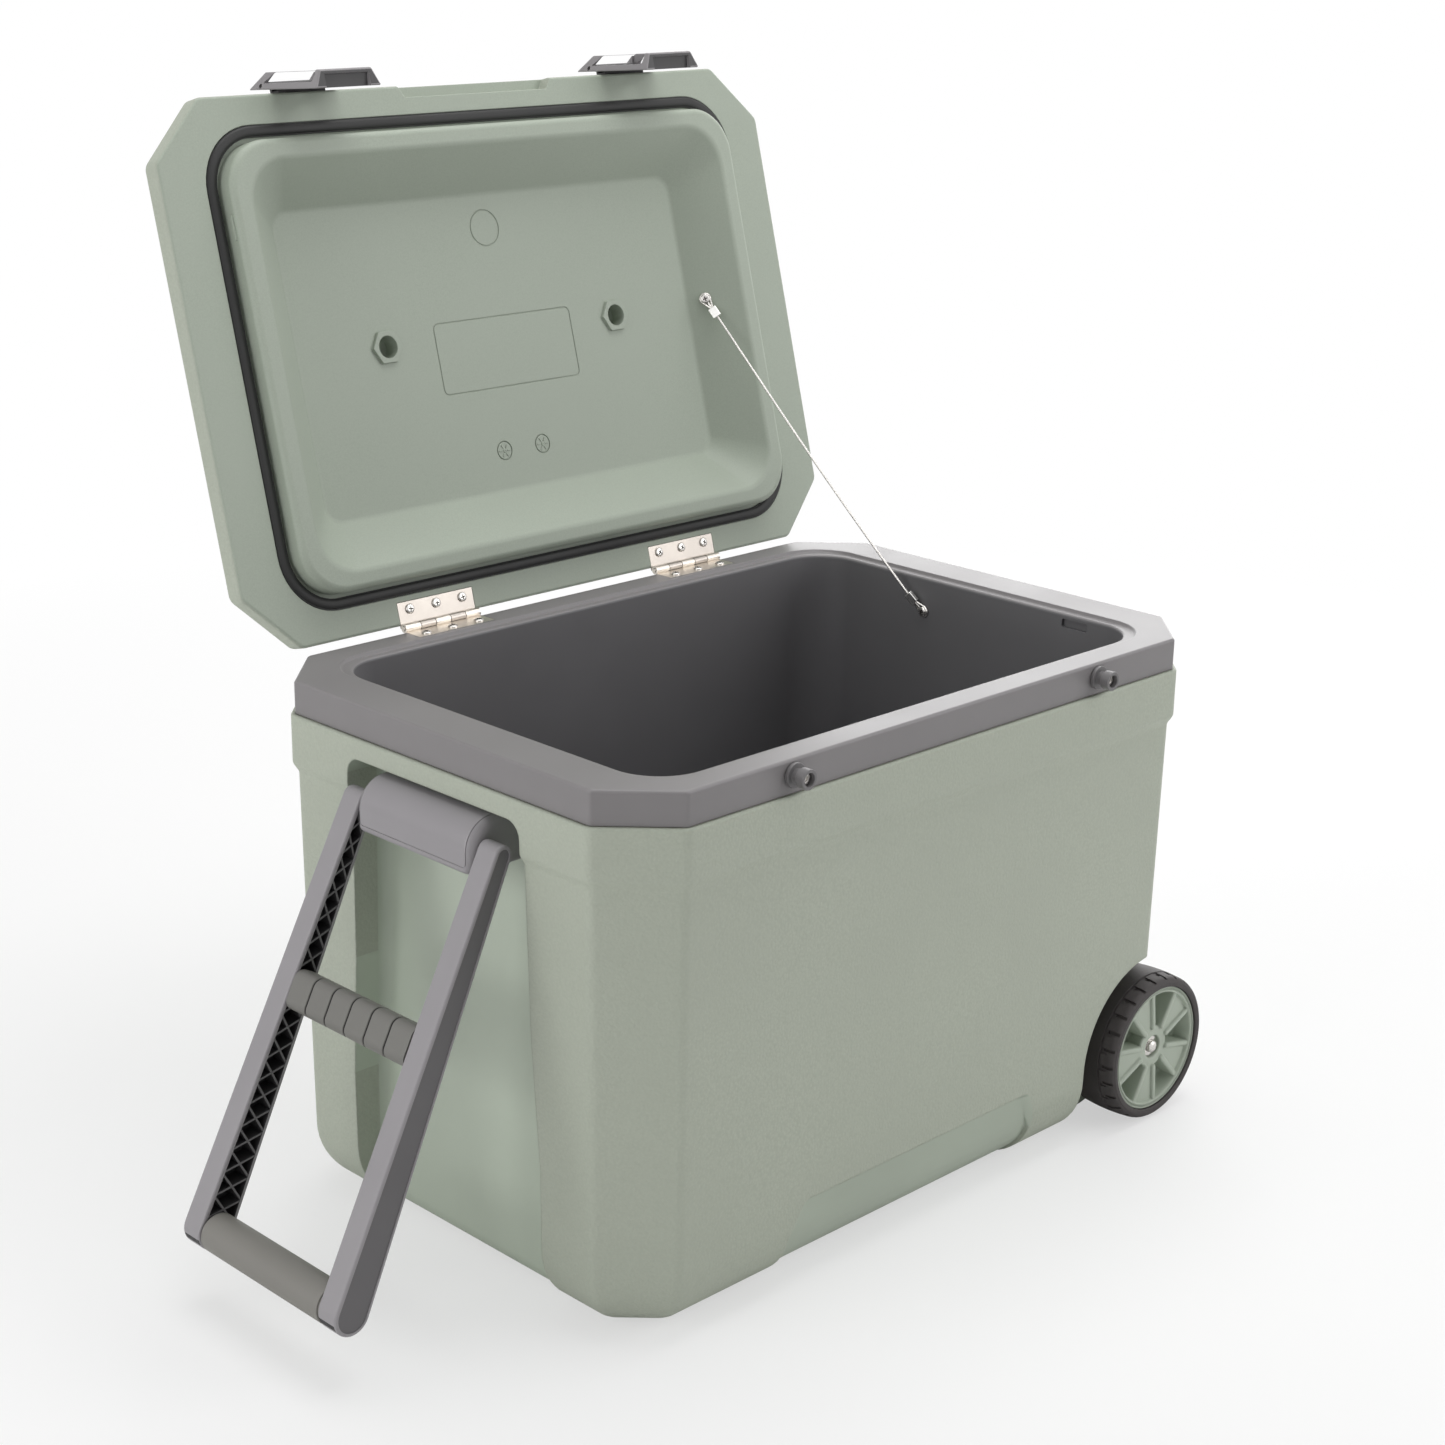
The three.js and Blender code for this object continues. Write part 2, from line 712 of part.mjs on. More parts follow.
function hingeLeaf(middle, odd, plateLow, plateHigh) {
  const half = (hingeOuter - hingeInner) / 2;
  const step = (2 * half) / knuckleCount;
  let leaf = box(middle - half, middle + half, hingeY - leafReach, hingeY, plateLow, plateHigh);
  for (let i = 0; i < knuckleCount; i += 1) {
    const from = middle - half + i * step;
    if ((i % 2 === 0) !== odd) {
      leaf = leaf.add(cylinder(knuckleRadius, 'x', from, from + step, [0, hingeY, hingeZ]));
    }
  }
  for (let i = 0; i < knuckleCount; i += 1) {
    const from = middle - half + i * step;
    if ((i % 2 === 0) === odd) {
      leaf = leaf.subtract(cylinder(knuckleRadius + gap, 'x', from - gap, from + step + gap,
        [0, hingeY, hingeZ]));
    }
  }
  return leaf.subtract(cylinder(hingePinRadius + run, 'x', middle - half - cut,
    middle + half + cut, [0, hingeY, hingeZ]));
}

function leafScrew(x, faceZ, up, tip) {
  const seat = faceZ - up * gap;
  const spans = (a, b) => [Math.min(a, b), Math.max(a, b)];
  const head = cylinder(screwHeadRadius, 'z', ...spans(faceZ + up * gap, faceZ + up * screwHeadProud),
    [x, leafScrewY, 0]);
  const shank = cylinder(screwRadius, 'z', ...spans(seat - up * tip, faceZ + up * screwHeadProud),
    [x, leafScrewY, 0], coarse);
  const slotLong = screwHeadRadius * slotLongShare;
  const slotWide = screwHeadRadius * slotWideShare;
  const deep = spans(faceZ + up * screwHeadProud / 2, faceZ + up * (screwHeadProud + cut));
  const cross = box(x - slotLong, x + slotLong, leafScrewY - slotWide, leafScrewY + slotWide, ...deep)
    .add(box(x - slotWide, x + slotWide, leafScrewY - slotLong, leafScrewY + slotLong, ...deep));
  return head.add(shank).subtract(cross);
}

latchSides.forEach(([name, side]) => {
  const middle = side * (hingeInner + hingeOuter) / 2;
  const holes = leafScrewPlaces.filter(([owner]) => owner === name);
  let tubLeaf = hingeLeaf(middle, false, rimTop - leafThickness, rimTop);
  let lidLeaf = hingeLeaf(middle, true, lidUnder, lidUnder + leafThickness);
  holes.forEach(([, , x]) => {
    tubLeaf = tubLeaf.subtract(cylinder(screwRadius + gap, 'z', rimTop - leafThickness - cut,
      rimTop + cut, [x, leafScrewY, 0], coarse));
    lidLeaf = lidLeaf.subtract(cylinder(screwRadius + gap, 'z', lidUnder - cut,
      lidUnder + leafThickness + cut, [x, leafScrewY, 0], coarse));
  });
  add(`hinge_tub_leaf_${name}`, tubLeaf, 'steel');
  add(`hinge_lid_leaf_${name}`, lidLeaf, 'steel', lidFrame);
  const half = (hingeOuter - hingeInner) / 2;
  add(`hinge_pin_${name}`, cylinder(hingePinRadius, 'x', middle - half - hingePinEnd,
    middle + half + hingePinEnd, [0, hingeY, hingeZ]), 'steel');
  holes.forEach(([, letter, x]) => {
    add(`tub_leaf_screw_${name}_${letter}`, leafScrew(x, rimTop, 1, screwGrip - gap), 'steel');
    add(`lid_leaf_screw_${name}_${letter}`, leafScrew(x, lidUnder, -1, screwGrip - gap), 'steel',
      lidFrame);
  });
});

// Lid shell, in the closed position inside its turned group
function lidForm(inwards) {
  const ring = (e, z) => {
    const chamfer = cornerChamfer + octagonShare * e;
    return atZ(octagon(lidHalfLength + e, lidHalfWidth + e, chamfer), z);
  };
  const bevelShift = inwards * Math.tan(Math.PI / 8);
  return loft([
    ring(-inwards, lidUnder + inwards),
    ring(-inwards, lidUnder + lidSide - bevelShift),
    ring(-lidBevel - bevelShift, lidTop - inwards),
  ]);
}
const gasketHole = atZ(rectangle(gasketOuterHalf + gap, gasketWidthHalf + gap, gasketRadius), 0);
const gasketHoleAt = (z) => gasketHole.map((p) => new THREE.Vector3(p.x, p.y, z));
const grabCutter = prism([
  v2(-grabHalf, -lidHalfWidth - cut), v2(grabHalf, -lidHalfWidth - cut),
  v2(grabFloorHalf, -lidHalfWidth + grabInset), v2(-grabFloorHalf, -lidHalfWidth + grabInset),
], lidUnder - cut, lidUnder + grabDepth, 'z');
const grabKeep = prism([
  v2(-grabHalf - lidSkin, -lidHalfWidth - cut), v2(grabHalf + lidSkin, -lidHalfWidth - cut),
  v2(grabFloorHalf + lidSkin, -lidHalfWidth + grabInset + lidSkin),
  v2(-grabFloorHalf - lidSkin, -lidHalfWidth + grabInset + lidSkin),
], lidUnder - cut, lidUnder + grabDepth + lidSkin, 'z');
let lidShell = lidForm(0).subtract(lidForm(lidSkin).subtract(grabKeep)).subtract(grabCutter)
  .subtract(loft([gasketHoleAt(lidUnder - cut), gasketHoleAt(lidUnder + lidSkin + cut)]));
latchSides.forEach(([, side]) => {
  const middle = side * (hingeInner + hingeOuter) / 2;
  const half = (hingeOuter - hingeInner) / 2 + gap;
  lidShell = lidShell.subtract(box(middle - half, middle + half, hingeY - leafReach - gap,
    lidHalfWidth + cut, lidUnder - cut, lidUnder + leafThickness + gap));
});
leafScrewPlaces.forEach(([, , x]) => {
  lidShell = lidShell.subtract(cylinder(screwRadius + gap, 'z', lidUnder - cut,
    lidUnder + screwGrip, [x, leafScrewY, 0], coarse));
});
add('lid_shell', lidShell, 'green', lidFrame);

// Lid gasket
const gasketInner = {
  x: gasketOuterHalf - gasketWidth, y: gasketWidthHalf - gasketWidth, r: gasketRadius - gasketWidth,
};
const gasketRing = (x, y, r, z) => atZ(rectangle(x, y, r), z);
const gasket = loft([
  gasketRing(gasketOuterHalf - gasketProud, gasketWidthHalf - gasketProud, gasketRadius,
    lidUnder - gasketProud),
  gasketRing(gasketOuterHalf, gasketWidthHalf, gasketRadius, lidUnder),
  gasketRing(gasketOuterHalf, gasketWidthHalf, gasketRadius, lidUnder + gasketDeep),
]).subtract(loft([
  gasketRing(gasketInner.x, gasketInner.y, gasketInner.r, lidUnder - gasketProud - cut),
  gasketRing(gasketInner.x, gasketInner.y, gasketInner.r, lidUnder + gasketDeep + cut),
]));
add('lid_gasket', gasket, 'rubber', lidFrame);

// Lid liner: plug that enters the tub's mouth, with the pocket inside it
const flangeLow = lidUnder + lidSkin + gap;
const flangeHigh = flangeLow + lidSkin;
const plugNear = plugEdge * floorStepShare;
const plug = loft([
  atZ(rectangle(plugHalfLength - plugEdge, plugHalfWidth - plugEdge, plugRadius), lidUnder - plugDepth),
  atZ(rectangle(plugHalfLength - plugNear, plugHalfWidth - plugNear, plugRadius),
    lidUnder - plugDepth + plugNear),
  atZ(rectangle(plugHalfLength, plugHalfWidth, plugRadius), lidUnder - plugDepth + plugEdge),
  atZ(rectangle(plugHalfLength + plugFlare, plugHalfWidth + plugFlare, plugRadius),
    flangeLow + gap),
]);
const flangeX = gasketOuterHalf + flangeEndOut;
const flangeY = gasketWidthHalf + flangeSideOut;
const flange = loft([
  atZ(rectangle(flangeX, flangeY, gasketRadius), flangeLow),
  atZ(rectangle(flangeX, flangeY, gasketRadius), flangeHigh),
]);
function pocketForm(grow) {
  const floorZ = lidUnder + pocketFloor + grow;
  return loft([
    atZ(rectangle(pocketHalfLength + pocketLip, pocketHalfWidth + pocketLip, pocketRadius),
      lidUnder - plugDepth - cut),
    atZ(rectangle(pocketHalfLength + grow, pocketHalfWidth + grow, pocketRadius),
      lidUnder - plugDepth + pocketLip),
    atZ(rectangle(pocketFloorHalfLength + pocketFloorRadius / 2 + grow,
      pocketFloorHalfWidth + pocketFloorRadius / 2 + grow, pocketRadius - pocketFloorRadius / 2),
    floorZ - pocketFloorRadius / 2),
    atZ(rectangle(pocketFloorHalfLength + grow, pocketFloorHalfWidth + grow, pocketFloorRadius),
      floorZ),
  ]);
}
const plugBand = box(-halfLength, halfLength, -halfWidth, halfWidth, flangeLow, lidTop);
let lidLiner = plug.add(flange).add(pocketForm(lidSkin).intersect(plugBand));
lidLiner = lidLiner.subtract(pocketForm(0));
latchSides.forEach(([, side]) => {
  const port = [side * portX, portY, 0];
  const floorZ = lidUnder + pocketFloor;
  lidLiner = lidLiner.add(cylinder(portRadius, 'z', floorZ - portHeight, floorZ + lidSkin / 2,
    port, hexagon));
  lidLiner = lidLiner.add(cylinder(portHole + portWall, 'z', floorZ, floorZ + portHoleDepth + lidSkin,
    port, coarse));
  lidLiner = lidLiner.subtract(cylinder(portHole, 'z', floorZ - portHeight - cut,
    floorZ + portHoleDepth, port, coarse));
  const tabRootX = side * (plugHalfLength - tabRoot);
  const tabTipX = side * (plugHalfLength + tabReach);
  lidLiner = lidLiner.add(box(Math.min(tabRootX, tabTipX), Math.max(tabRootX, tabTipX),
    tabY - tabHalf, tabY + tabHalf, lidUnder - tabDrop - tabThickness / 2,
    lidUnder - tabDrop + tabThickness / 2));
});

// Stay cable ends: a place and a direction on the lid's pocket slope and on the tub wall
const slopeRun = pocketHalfLength - pocketFloorHalfLength - pocketFloorRadius / 2;
const slopeRise = pocketFloor + plugDepth - pocketLip - pocketFloorRadius / 2;
const slopeNormal = new THREE.Vector3(-slopeRise, 0, -slopeRun).normalize();
const lidEyeX = pocketHalfLength - lidEyeDownShare * slopeRun;
const lidEye = new THREE.Vector3(lidEyeX, lidHalfWidth - lidEyeBack, 0);
lidEye.z = lidUnder - plugDepth + pocketLip
  + (pocketHalfLength - lidEyeX) * (slopeRise / slopeRun);
const tubEye = new THREE.Vector3(stayScrewWallX, tubEyeY, tubEyeZ);
const tubNormal = new THREE.Vector3(-1, 0, 0);

function along(solid, place, direction) {
  const turn = new THREE.Quaternion().setFromUnitVectors(new THREE.Vector3(0, 0, 1), direction);
  const matrix = new THREE.Matrix4().compose(place, turn, new THREE.Vector3(1, 1, 1));
  return moved(solid, matrix);
}
const bareCylinder = (radius, a, b, sides) => cylinder(radius, 'z', a, b, [0, 0, 0], sides);
lidLiner = lidLiner.subtract(along(bareCylinder(stayScrewRadius + gap, -2 * stayScrewGrip, cut,
  coarse), lidEye, slopeNormal));
add('lid_liner', lidLiner, 'green', lidFrame);

// Lid foam
const ledgeInside = lidForm(lidSkin + gap).intersect(box(-halfLength, halfLength, -halfWidth,
  halfWidth, flangeHigh + gap, lidTop));
let lidFoam = ledgeInside.subtract(pocketForm(lidSkin + gap)).subtract(
  box(-grabHalf - 2 * lidSkin, grabHalf + 2 * lidSkin, -halfWidth,
    -lidHalfWidth + grabInset + 2 * lidSkin, lidUnder, lidUnder + grabDepth + 2 * lidSkin),
);
latchSides.forEach(([, side]) => {
  lidFoam = lidFoam.subtract(cylinder(portHole + portWall + gap, 'z', lidUnder, lidUnder + pocketFloor
    + portHoleDepth + lidSkin + gap, [side * portX, portY, 0], coarse));
});
leafScrewPlaces.forEach(([, , x]) => {
  lidFoam = lidFoam.subtract(cylinder(screwRadius + gap, 'z', lidUnder,
    lidUnder + screwGrip + gap, [x, leafScrewY, 0], coarse));
});
lidFoam = lidFoam.subtract(along(bareCylinder(stayScrewRadius + 2 * gap, -3 * stayScrewGrip, cut,
  coarse), lidEye, slopeNormal));
add('lid_foam', lidFoam, 'foam', lidFrame);

// Stay screws
function stayScrew() {
  const low = gap + eyeThickness + gap;
  const head = bareCylinder(stayScrewHead, low, low + stayScrewHeadHeight, medium);
  const shank = bareCylinder(stayScrewRadius, -stayScrewGrip + gap, low + gap, coarse);
  const recess = cylinder(stayScrewRadius, 'z', low + stayScrewHeadHeight / 2,
    low + stayScrewHeadHeight + cut, [0, 0, 0], hexagon);
  return head.add(shank).subtract(recess);
}
add('stay_screw_lid', along(stayScrew(), lidEye, slopeNormal), 'steel', lidFrame);
add('stay_screw_tub', along(stayScrew(), tubEye, tubNormal), 'steel');

// Stay cable in the open position
cooler.updateMatrixWorld(true);
const eyeMiddle = gap + eyeThickness / 2;
const lidEyeOpen = lidEye.clone().addScaledVector(slopeNormal, eyeMiddle)
  .applyMatrix4(lidFrame.matrixWorld);
const slopeNormalOpen = slopeNormal.clone().transformDirection(lidFrame.matrixWorld);
const tubEyeOpen = tubEye.clone().addScaledVector(tubNormal, eyeMiddle);
const cableDirection = tubEyeOpen.clone().sub(lidEyeOpen).normalize();
const lifted = (direction, normal) => direction.clone()
  .addScaledVector(normal, -direction.dot(normal)).normalize()
  .addScaledVector(normal, leadLiftShare).normalize();
const lidLead = lifted(cableDirection, slopeNormalOpen);
const tubLead = lifted(cableDirection.clone().negate(), tubNormal);
const cableMiddle = lidEyeOpen.clone().lerp(tubEyeOpen, 0.5);
cableMiddle.z -= cableSag;
const lidTail = lidEyeOpen.clone().addScaledVector(lidLead, eyeOuter - gap);
const tubTail = tubEyeOpen.clone().addScaledVector(tubLead, eyeOuter - gap);
const cableCurve = new THREE.CatmullRomCurve3([
  lidTail,
  lidTail.clone().addScaledVector(lidLead, cableLead),
  cableMiddle,
  tubTail.clone().addScaledVector(tubLead, cableLead),
  tubTail,
]);
function tube(curve, radius, steps, sides) {
  const circle = new THREE.Shape();
  for (let i = 0; i < sides; i += 1) {
    const angle = (2 * Math.PI * i) / sides;
    const point = [radius * Math.cos(angle), radius * Math.sin(angle)];
    if (i === 0) circle.moveTo(...point);
    else circle.lineTo(...point);
  }
  circle.closePath();
  return toSolid(new THREE.ExtrudeGeometry(circle, { extrudePath: curve, steps, bevelEnabled: false }));
}
const eye = bareCylinder(eyeOuter, -eyeThickness / 2, eyeThickness / 2, medium)
  .subtract(bareCylinder(eyeInner, -eyeThickness, eyeThickness, medium));
let cable = tube(cableCurve, cableRadius, cableSteps, cableSides)
  .add(along(eye, lidEyeOpen, slopeNormalOpen)).add(along(eye, tubEyeOpen, tubNormal));
[[lidTail, lidLead], [tubTail, tubLead]].forEach(([tail, lead]) => {
  const sleeve = bareCylinder(sleeveRadius, sleeveStart, sleeveStart + sleeveLength, coarse);
  cable = cable.add(along(sleeve, tail, lead));
});
add('stay_cable', cable, 'steel');

// Latches
const latchPinY = -lidHalfWidth - latchPinOut;
const latchPinZ = lidUnder + latchPinUp;
function latchBody() {
  // s runs down from the pin, t outwards; each is turned to -Z and -Y below
  const levels = (half, s0, s1, t) => [
    new THREE.Vector3(-half, -t, -s0), new THREE.Vector3(half, -t, -s0),
    new THREE.Vector3(half, -t, -s1), new THREE.Vector3(-half, -t, -s1),
  ];
  const block = loft([
    levels(latchHalfInner, -latchHeel, latchLength, -latchInner),
    levels(latchHalfOuter, -latchHeel + latchHeelSlope, latchLength - latchEndSlope, latchOuter),
  ]);
  const wide = 2 * latchHalfInner;
  const wallStart = latchLength - latchLip - latchLipWall;
  const window = prism([
    v2(-latchRail, -latchEar + latchHeel), v2(-latchRail, -wallStart),
    v2(-latchOuter - cut, -wallStart - latchLipSlope),
    v2(-latchOuter - cut, -latchEar + latchEarSlope),
  ], -wide, wide, 'x');
  const half = latchHalfInner - latchWall - latchTrayIn;
  const tray = box(-half, half, -latchOuter - cut, latchInner - latchFloor, -wallStart, latchPinRadius * 2);
  const heelGap = box(-baseHalf - gap, baseHalf + gap, -latchOuter - cut, latchInner + cut,
    -baseKnuckle - baseRun, latchHeel + cut);
  const underLip = box(-latchHalfOuter + latchLipWall, latchHalfOuter - latchLipWall,
    -latchOuter + latchLipWall, latchInner + cut, -latchLength - cut, -wallStart - latchLipWall);
  const hole = cylinder(latchHole, 'y', -latchOuter, latchInner + cut,
    [0, 0, -(latchPinUp + hingeToLid + hingeRise + studDrop)]);
  const bore = cylinder(latchPinRadius + run, 'x', -wide, wide, [0, 0, 0], coarse);
  return block.subtract(window).subtract(tray).subtract(heelGap).subtract(underLip)
    .subtract(hole).subtract(bore);
}
latchSides.forEach(([name, side]) => {
  const swing = new THREE.Group();
  swing.position.set(side * studX, latchPinY, latchPinZ);
  swing.rotation.x = THREE.MathUtils.degToRad(latchFlop);
  lidFrame.add(swing);
  add(`latch_${name}`, latchBody(), 'grey', swing);
  const x0 = side * studX - baseHalf;
  const x1 = side * studX + baseHalf;
  const pin = cylinder(latchPinRadius, 'x', side * studX - latchHalfInner + latchPinInset,
    side * studX + latchHalfInner - latchPinInset, [0, latchPinY, latchPinZ], coarse);
  add(`latch_pin_${name}`, pin, 'steel', lidFrame);
  const face = -lidHalfWidth - gap;
  let base = box(x0, x1, face - basePlate, face, lidUnder + baseBottom, lidUnder + baseTop);
  base = base.add(box(x0, x1, latchPinY, face, latchPinZ - baseKnuckle, lidUnder + lidSide - gap));
  base = base.add(cylinder(baseKnuckle, 'x', x0, x1, [0, latchPinY, latchPinZ], medium));
  base = base.subtract(cylinder(latchPinRadius + run, 'x', x0 - cut, x1 + cut,
    [0, latchPinY, latchPinZ], coarse));
  add(`latch_base_${name}`, base, 'dark', lidFrame);
});

// Handle bracket
const plateX = recessFloorX - gap;
const blockBack = plateX - bracketPlate;
const blockOutline = rounded([
  v2(blockBack + bracketSeat, rimTop - bracketBlockTop), v2(bracketFrontX, rimTop - bracketBlockTop),
  v2(bracketFrontX, rimTop - bracketBlockBottom), v2(blockBack + bracketSeat, rimTop - bracketBlockBottom),
], bracketLowRound / 2, 1);
const noseOutline = [];
for (let i = 0; i <= noseSteps; i += 1) {
  const angle = (Math.PI / 2) * (i / noseSteps);
  noseOutline.push(v2(bracketFrontX + bracketRound - bracketRound * Math.sin(angle),
    rimTop - bracketBlockTop - bracketRound + bracketRound * Math.cos(angle)));
}
for (let i = 0; i <= noseLowSteps; i += 1) {
  const angle = (Math.PI / 2) * (i / noseLowSteps);
  noseOutline.push(v2(bracketFrontX + bracketLowRound - bracketLowRound * Math.cos(angle),
    rimTop - bracketBlockBottom + bracketLowRound - bracketLowRound * Math.sin(angle)));
}
noseOutline.push(v2(blockOutline[0].x, rimTop - bracketBlockBottom));
noseOutline.push(v2(blockOutline[0].x, rimTop - bracketBlockTop));
const blockEnds = prism(rounded([
  v2(bracketFrontX, -bracketBlockHalf), v2(plateX, -bracketBlockHalf),
  v2(plateX, bracketBlockHalf), v2(bracketFrontX, bracketBlockHalf),
], bracketEndRound, noseLowSteps), rimTop - bracketBottom, rimTop, 'z');
const blockShoulders = prism(rounded([
  v2(-bracketBlockHalf, rimTop - bracketBlockTop), v2(-bracketBlockHalf, rimTop - bracketBottom),
  v2(bracketBlockHalf, rimTop - bracketBottom), v2(bracketBlockHalf, rimTop - bracketBlockTop),
], bracketEndRound, noseLowSteps), bracketFrontX - cut, plateX, 'x');
let bracket = prism(noseOutline, -bracketBlockHalf, bracketBlockHalf, 'y')
  .intersect(blockEnds).intersect(blockShoulders);
bracket = bracket.add(box(blockBack, plateX, -bracketHalf, bracketHalf, rimTop - bracketBottom,
  rimTop - recessTop - gap));
wheelSides.forEach(([, side]) => {
  const inner = side * cheekInner;
  const outer = side * bracketHalf;
  bracket = bracket.add(box(cheekFrontX, plateX, Math.min(inner, outer), Math.max(inner, outer),
    rimTop - cheekBottom, rimTop - recessTop - gap));
});
const hollowHalf = bracketBlockHalf - bracketEndWall;
bracket = bracket.subtract(box(bracketFrontX + bracketWall, blockBack, -hollowHalf, hollowHalf,
  rimTop - bracketBlockBottom - cut, rimTop - bracketBlockTop - bracketWall));
wheelSides.forEach(([, side]) => {
  const from = Math.min(side * (bracketBlockHalf - pinDeep - gap), side * (bracketBlockHalf + cut));
  const to = Math.max(side * (bracketBlockHalf - pinDeep - gap), side * (bracketBlockHalf + cut));
  bracket = bracket.subtract(cylinder(pinRadius + run, 'y', from, to, [pivotX, 0, pivotZ]));
});
add('handle_bracket', bracket, 'grey');

// Pull handle, in its own turned group; down the arms is -Z and outwards is -X there
const handle = new THREE.Group();
handle.position.set(pivotX, 0, pivotZ);
handle.rotation.y = THREE.MathUtils.degToRad(handleTilt);
cooler.add(handle);
const faceX = -armEndRadius;
const splayShear = new THREE.Matrix4().set(
  1, 0, 0, 0,
  0, 1, -armSplayShare, 0,
  0, 0, 1, 0,
  0, 0, 0, 1,
);
function armOutline(inset) {
  const points = [];
  const topRadius = armEndRadius - inset;
  const endX = faceX + gripRadius;
  for (let i = 0; i <= armTopSteps; i += 1) {
    const angle = Math.PI * (i / armTopSteps);
    points.push(v2(topRadius * Math.cos(angle), topRadius * Math.sin(angle)));
  }
  const lowRadius = gripRadius - inset;
  for (let i = 0; i <= armFootSteps; i += 1) {
    const angle = Math.PI * (i / armFootSteps);
    points.push(v2(endX - lowRadius * Math.cos(angle), -armLength - lowRadius * Math.sin(angle)));
  }
  return points;
}
function armSolid() {
  const outer = prism(armOutline(0), armInner, armInner + armThickness, 'y');
  const pocket = prism(armOutline(armWall), armInner - cut, armInner + armPocketDepth, 'y');
  let arm = outer.subtract(pocket);
  const pitch = (armLength - 2 * armEndRadius) / armRibCount;
  const ribDeep = armPocketDepth + armRibSunk - rootIn;
  let ribs = null;
  for (let i = 0; i < armRibCount; i += 1) {
    const top = -armEndRadius - i * pitch;
    const depthHere = 2 * armEndRadius - armDepthShare * (top - pitch / 2);
    [-1, 1].forEach((hand) => {
      const rib = new THREE.BoxGeometry(Math.hypot(pitch, depthHere), ribDeep, armRib);
      rib.rotateY(hand * Math.atan2(pitch, depthHere - armWall));
      rib.translate(faceX + depthHere / 2, armInner + rootIn + ribDeep / 2, top - pitch / 2);
      ribs = ribs === null ? toSolid(rib) : ribs.add(toSolid(rib));
    });
  }
  const inside = prism(armOutline(armWall / 2), armInner + armRibSunk,
    armInner + armThickness - cut, 'y');
  arm = arm.add(ribs.intersect(inside));
  const boss = cylinder(armEndRadius - armWall / 2, 'y', armInner, armInner + armPocketDepth,
    [0, 0, 0], medium);
  arm = arm.add(boss);
  const gripBoss = cylinder(gripRadius - armWall / 2, 'y', armInner + gripBossInset,
    armInner + armPocketDepth, [faceX + gripRadius, 0, -armLength], medium);
  arm = arm.add(gripBoss);
  arm = arm.subtract(cylinder(pinRadius + run, 'y', armInner - cut, armInner + armPocketDepth + gap,
    [0, 0, 0]));
  return moved(arm, splayShear);
}
const armBack = armSolid();
add('handle_arm_back', armBack, 'grey', handle);
add('handle_arm_front', mirroredY(armBack), 'grey', handle);
wheelSides.forEach(([name, side]) => {
  const from = side * (bracketBlockHalf - pinDeep);
  const to = side * (armInner + armPocketDepth - gap);
  const pin = cylinder(pinRadius, 'y', Math.min(from, to), Math.max(from, to),
    [pivotX, 0, pivotZ]);
  add(`handle_pin_${name}`, pin, 'steel');
});
const spanAt = (down) => armInner + armSplayShare * down - gap;
const barMiddle = crossbarTop + crossbarHeight / 2;
function crossbar() {
  const half = spanAt(crossbarTop);
  const tall = crossbarHeight / 2;
  const section = (y, inset) => rounded([
    v2(faceX + inset, -barMiddle + tall - inset),
    v2(faceX + inset, -barMiddle - tall + inset),
    v2(faceX + crossbarDepth - inset, -barMiddle - tall + inset),
    v2(faceX + crossbarDepth - inset, -barMiddle + tall - inset),
  ], crossbarRound, crossbarRoundSteps).map((p) => new THREE.Vector3(p.x, y, p.y));
  const pitch = (2 * half) / crossbarSegments;
  const rings = [];
  for (let i = 0; i < crossbarSegments; i += 1) {
    const from = -half + i * pitch;
    const groove = crossbarGrooveWidth / 2;
    if (i > 0) rings.push(section(from, crossbarGroove));
    rings.push(section(from + (i > 0 ? groove : 0), 0));
    rings.push(section(from + pitch - (i + 1 < crossbarSegments ? groove : 0), 0));
  }
  return loft(rings);
}
add('handle_crossbar', crossbar(), 'dark', handle);
const gripHalf = spanAt(armLength - gripRadius);
add('handle_grip', cylinder(gripRadius - gripInset, 'y', -gripHalf, gripHalf,
  [faceX + gripRadius, 0, -armLength], fine), 'dark', handle);

// Axle, wheels and clips
const axleHalf = wheelFace - axleEndInset;
add('axle', cylinder(axleRadius, 'y', -axleHalf, axleHalf, axleLine), 'steel');
const wheelInner = wheelFace - tyreWidth;
function lathe(profile) {
  const geometry = new THREE.LatheGeometry(profile.map(([r, y]) => v2(r, y)), fine);
  geometry.translate(...axleLine);
  return toSolid(geometry);
}
function tyre() {
  const profile = [
    [tyreBore, wheelInner], [wheelRadius - tyreShoulder, wheelInner],
    [wheelRadius, wheelInner + tyreShoulder], [wheelRadius, wheelFace - tyreShoulder],
    [wheelRadius - tyreShoulder, wheelFace], [tyreBore, wheelFace], [tyreBore, wheelInner],
  ];
  let solid = lathe(profile);
  for (let i = 0; i < treadBlocks; i += 1) {
    const notch = new THREE.BoxGeometry(2 * treadBlockDepth, treadBlockWidth, treadGroove);
    notch.translate(wheelRadius, wheelFace - treadBlockWidth / 2 + cut, 0);
    notch.rotateY(((i + 0.5) / treadBlocks) * 2 * Math.PI);
    notch.translate(...axleLine);
    solid = solid.subtract(toSolid(notch));
  }
  return solid;
}
